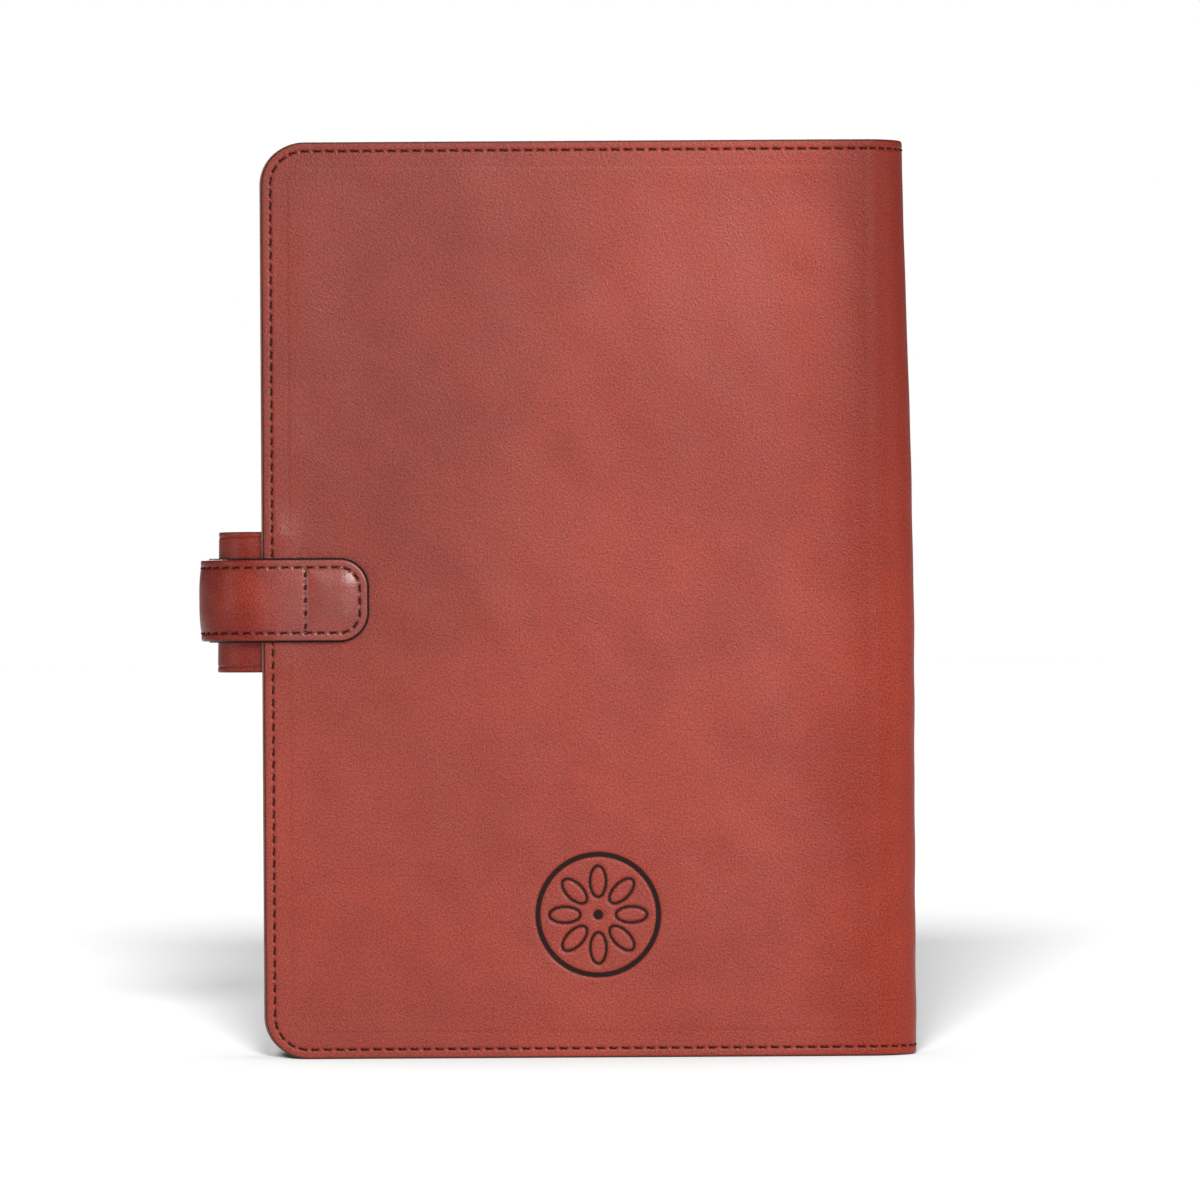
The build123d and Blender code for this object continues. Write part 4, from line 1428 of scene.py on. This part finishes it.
def card_slots():
    """Two card slots on the front pocket, each with a thumb notch, the lower one lapping over the upper."""
    upper_low, upper_high = box_mm("card_slot_upper")
    left, right = COVER.at_x(upper_low[0], far=True), COVER.at_x(upper_high[0], far=True)
    middle = (left + right) / 2
    s_values = np.unique(np.concatenate([steps(right, left, 3.0), middle + np.linspace(-9.6, 9.6, 61)]))
    rows = steps(0.0, 1.0, 0.035, near=(0.003, 0.008, 0.016, 0.028))
    for name, lap in (("upper", 0.0), ("lower", SLOT)):
        low, high = (corner[2] for corner in box_mm(f"card_slot_{name}"))

        def face(s, z):
            """The slot's visible face, raised where it laps over the slot above."""
            raised = lap * smooth(upper_low[2] - 5.5, upper_low[2] - 0.2, z)
            return LINING_FACE + POCKET + raised + 0 * s + SLOT

        def top(s):
            """The top edge, with the notch in its middle."""
            dip = np.sqrt(np.maximum(NOTCH_RADIUS**2 - (s - middle) ** 2, 0)) - 2
            return high - np.maximum(dip, 0)

        piece = slot_sheet(f"card_slot_{name}_sheet", s_values, low, top, rows, face)
        fix(piece, "front_cover", "inner_leather", f"card_slot_{name}")
        lines = [(right + 2, high - 2, right + 2, low + 2), (left - 2, low + 2, left - 2, high - 2)]
        lines += [(right + 2, low + 2, left - 2, low + 2)] if lap else []
        for number, line in enumerate(lines):
            piece = thread(f"card_slot_{name}_thread_{number + 1}", COVER, *straight(*line), face, -1)
            fix(piece, "front_cover", "inner_leather")


# ---------------------------------------------------------------- the refill

def slab(name, node, low, high, slot, material, layers, roughness, corner=1.2):
    """A flat block of sheets: its cut edges step in and out a little from layer to layer."""
    left, right, bottom, top = low[0] + corner, high[0] - corner, low[2] + corner, high[2] - corner
    arcs = []
    for quarter, (x, z) in enumerate(((right, bottom), (right, top), (left, top), (left, bottom))):
        angle = np.radians(90 * quarter - 90 + np.linspace(0, 90, 5))
        arcs.append(np.stack([x + corner * np.cos(angle), z + corner * np.sin(angle)], 1))
    outline = []
    for arc, following in zip(arcs, arcs[1:] + arcs[:1]):
        begin, end = arc[-1], following[0]
        count = max(2, int(math.dist(begin, end) / 6))
        outline += [*arc, *(begin + (end - begin) * k / count for k in range(1, count))]
    outline = np.array(outline)
    centre = outline.mean(axis=0)
    inward = np.sign(centre - outline)
    inward[:, 0] *= (np.minimum(outline[:, 0] - low[0], high[0] - outline[:, 0]) < corner)
    inward[:, 1] *= (np.minimum(outline[:, 1] - low[2], high[2] - outline[:, 1]) < corner)
    y = np.linspace(low[1], high[1], layers + 1)
    inset = rng.uniform(0, roughness, layers + 1)
    drift = roughness * (0.5 + 0.5 * np.sin(outline[:, 0] * 0.11 + outline[:, 1] * 0.07))
    inset[0] = inset[-1] = roughness
    size = len(outline)
    rows = []
    for step_in, height in zip(inset, y):
        moved = outline + (step_in + drift)[:, None] * inward
        rows.append(np.column_stack([moved[:, 0], np.full(size, height), moved[:, 1]]))
    verts = np.concatenate(rows)
    piece = make_object(name, verts, tube_faces(layers + 1, size), verts[:, [0, 2]], material=material)
    tidy_normals(piece, 20)
    fix(piece, "back_cover", slot, node)


def refill():
    """The pad: a backing board, the pages, a top card, and a cloth tape round the bound edge."""
    slab("refill_backing_board", "refill_board", BOARD_LOW, BOARD_HIGH, "board", BOARD, 4, 0.05, corner=2.0)
    slab("refill_pages", "page_block", *box_mm("page_block"), "paper", PAPER, 64, 0.10)
    slab("refill_card", "refill_top_card", *box_mm("refill_top_card"), "top_card", CARD, 2, 0.04)
    low, high = box_mm("binding_tape")
    board_right, tape, radius = BOARD_HIGH[0], 0.3, 0.7
    back_x = board_right - 6.0
    corner = np.radians(np.linspace(-90, 0, 7))
    right = high[0] - radius
    line = [(back_x + (right - back_x) * t, low[1]) for t in np.linspace(0, 1, 6)[:-1]]
    line += [(right + radius * math.cos(a), low[1] + radius + radius * math.sin(a)) for a in corner]
    line += [(high[0], y) for y in np.linspace(low[1] + radius, high[1] - radius, 12)[1:-1]]
    line += [(right + radius * math.cos(a), high[1] - radius + radius * math.sin(a))
             for a in corner + math.pi / 2]
    line += [(right + (low[0] - right) * t, high[1]) for t in np.linspace(0, 1, 10)[1:]]
    piece = band("refill_cloth_tape", np.array(line)[::-1], tape, low[2], high[2], CLOTH, rounding=0.1)
    fix(piece, "back_cover", "tape", "binding_tape")


# ---------------------------------------------------------------- build

def inside_back(s, z):
    """The face that the thread lies on inside the back cover and the spine."""
    return np.where(s < SLEEVE_S, sleeve_outer(s, z) + SLEEVE, lining_outer(s, z) + LINING)


def inside_all(s, z):
    """The face that the thread lies on inside, all the way round."""
    far = s > COVER_LENGTH - POCKET_S
    return np.where(far, pocket_outer(s, z) + POCKET, inside_back(s, z))


cover_leather()
cover_lining()
sew("cover_thread", "cover_leather", COVER_SHEET, cover_face, 1, 0.5, LEATHER)
sew("inner_thread", "lining", COVER_SHEET, inside_all, -1, 0.0, LINING_FACE)
flap("back_sleeve_flap", "back_sleeve", "back_cover", SLEEVE_S, False, sleeve_outer, sleeve_inner)
flap("front_pocket_flap", "front_pocket", "front_cover", POCKET_S, True, pocket_outer, pocket_inner)
card_slots()
refill()
pen_loop()
strap()
sew("strap_thread", "strap_leather", STRAP_SHEET, strap_face, 1, 0.5, STRAP_LEATHER)
sew("strap_back_thread", "strap_backing", STRAP_SHEET, level(STRAP_THICKNESS), -1, 0.0, STRAP_THICKNESS,
    skip=(0,))
cross_low, cross_high = strap_low[2] + STRAP_STITCH_INSET, strap_high[2] - STRAP_STITCH_INSET
cross_line = straight(CROSS_S, cross_low, CROSS_S, cross_high)
cross_thread = thread("strap_cross_thread", STRAP, *cross_line, strap_face, 1)
fix(cross_thread, "back_cover", "strap_leather")
press_stud()
for board_node, board_look in (("back_stiffener", BOARD), ("front_stiffener", BOARD), ("snap_post", BRASS)):
    frame["nodes"][board_node].data.materials.clear()
    frame["nodes"][board_node].data.materials.append(board_look)


# ---------------------------------------------------------------- stage

# Soft light from all round, by how far a direction is to the left or right, and weaker from behind.
WORLD_LIGHT, WORLD_BEHIND = 1.20, 0.6
WORLD_BY_SIDE = ((0.0, 1.0), (0.22, 0.95), (0.42, 0.30), (0.65, 0.16), (0.85, 0.22), (1.0, 0.45))
# Lamps that don't light the floor: name, place in metres, size, power and shine.
AREA_LIGHTS = (("key", (0.40, -0.98, 0.56), 0.42, 8.3, 1.0), ("left_side", (-1.2, -0.6, 0.3), 0.6, 2.2, 0.1),
               ("right_side", (1.2, -0.45, 0.3), 0.6, 2.6, 0.1), ("back", (-0.2, 1.5, 0.9), 0.9, 16.0, 0.3))
LAMP_TARGET = Vector((0, 0, 0.11))
# Two low suns that light only the floor, and throw a faint shadow to each side.
FLOOR_SUN = 17.3
SUN_WIDTH, SUN_TO_SIDE, SUN_HEIGHT = math.radians(7), math.radians(5), math.radians(16)
FLOOR_HALF, FLOOR_Z = 12.0, -0.0001
FLOOR_LIT, FLOOR_SEEN = (0.25, 0.25, 0.25), (0.30, 0.30, 0.30)
# The camera, in millimetres and degrees.
CAMERA_DISTANCE, VIEW_WIDTH = 2000.0, 294.7
VIEW_CENTRE = (2.6, 112.1)
CAMERA_ROLL = 0.34


def world():
    """White behind everything, and soft light that is dimmer at the sides and behind."""
    scene = bpy.context.scene
    scene.view_settings.view_transform = "Standard"
    scene.world = bpy.data.worlds.new("studio")
    n = Nodes(scene.world, "ShaderNodeOutputWorld", "ShaderNodeMixShader")
    split = n.add("ShaderNodeSeparateXYZ")
    n.link(n.add("ShaderNodeTexCoord").outputs["Generated"], split.inputs[0])
    across = n.add("ShaderNodeFloatCurve")
    curve = across.mapping.curves[0]
    for at, value in WORLD_BY_SIDE[1:-1]:
        curve.points.new(at, value)
    curve.points[0].location, curve.points[-1].location = WORLD_BY_SIDE[0], WORLD_BY_SIDE[-1]
    across.mapping.update()
    n.link(n.calc("ABSOLUTE", split.outputs["X"]), across.inputs["Value"])
    seen, light = n.add("ShaderNodeBackground"), n.add("ShaderNodeBackground")
    seen.inputs[0].default_value = (1, 1, 1, 1)
    behind = n.ramp(split.outputs["Y"], -0.2, 0.5, WORLD_LIGHT, WORLD_LIGHT * WORLD_BEHIND)
    n.link(n.calc("MULTIPLY", across.outputs[0], behind), light.inputs["Strength"])
    by_camera = n.add("ShaderNodeLightPath").outputs["Is Camera Ray"]
    for socket, source in zip(n.shader.inputs, (by_camera, light.outputs[0], seen.outputs[0])):
        n.link(source, socket)


def floor():
    """A pale floor, with a painted contact shadow right beside the cover."""
    mesh = bpy.data.meshes.new("floor")
    corners = [(-1, -1), (1, -1), (1, 1), (-1, 1)]
    mesh.from_pydata([(x * FLOOR_HALF, y * FLOOR_HALF, FLOOR_Z) for x, y in corners], [], [(0, 1, 2, 3)])
    ground = bpy.data.objects.new("floor", mesh)
    n = Nodes("pale_floor")
    by_camera = n.add("ShaderNodeLightPath").outputs["Is Camera Ray"]
    # Ambient occlusion darkens the floor's colour close to the cover: a painted contact shadow.
    contact_shadow_ao = n.add("ShaderNodeAmbientOcclusion", samples=8)
    contact_shadow_ao.inputs["Distance"].default_value = 0.09
    shade = n.ramp(contact_shadow_ao.outputs["AO"], 0.4, 1.0, 0.80, 1.0)
    colour = n.tint(n.mix(by_camera, FLOOR_LIT, FLOOR_SEEN), shade)
    mesh.materials.append(n.finish(Base_Color=colour, Roughness=0.9, Specular_IOR_Level=0.0))
    return ground


def lamp(name, kind, power, lights, heading):
    """A lamp that lights one collection, turned to a heading."""
    data = bpy.data.lights.new(name, kind)
    data.energy = power
    obj = bpy.data.objects.new(name, data)
    obj.rotation_euler = heading.to_track_quat("-Z", "Y").to_euler()
    obj.light_linking.receiver_collection = lights
    bpy.context.scene.collection.objects.link(obj)
    return obj


def studio():
    """The floor, the world's soft light, and the lamps."""
    world()
    ground = floor()
    floor_only, not_floor = bpy.data.collections.new("floor_only"), bpy.data.collections.new("not_floor")
    for group in (floor_only, not_floor):
        bpy.context.scene.collection.children.link(group)
        group.objects.link(ground)
    not_floor.collection_objects[0].light_linking.link_state = "EXCLUDE"
    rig.stage(ground)
    for name, place, size, power, shine in AREA_LIGHTS:
        obj = lamp(name, "AREA", power, not_floor, LAMP_TARGET - Vector(place))
        obj.location = place
        obj.visible_camera = False
        obj.data.size, obj.data.specular_factor = size, shine
    for sign in (-1, 1):
        heading = Vector((sign * math.sin(SUN_TO_SIDE), math.cos(SUN_TO_SIDE), -math.tan(SUN_HEIGHT)))
        lamp("floor_sun", "SUN", FLOOR_SUN, floor_only, heading).data.angle = SUN_WIDTH


def camera():
    """Level with the middle of the cover, square to its back, turned a little about the line of sight."""
    data = bpy.data.cameras.new("camera")
    data.sensor_width = 36.0
    data.lens = data.sensor_width * CAMERA_DISTANCE / VIEW_WIDTH
    data.clip_end = 50.0
    obj = bpy.data.objects.new("camera", data)
    turn = Matrix.Rotation(math.radians(90), 4, "X") @ Matrix.Rotation(math.radians(-CAMERA_ROLL), 4, "Z")
    place = Vector((VIEW_CENTRE[0], -CAMERA_DISTANCE, VIEW_CENTRE[1])) * MM
    obj.matrix_world = Matrix.Translation(place) @ turn
    bpy.context.scene.collection.objects.link(obj)
    bpy.context.scene.camera = obj


studio()
camera()

VISUAL_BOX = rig.bounds()
with open("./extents.json", "w") as size_file:
    boxes = {"cad": CAD_BOX, "visual": VISUAL_BOX}
    json.dump({key: [list(corner) for corner in box] for key, box in boxes.items()}, size_file)
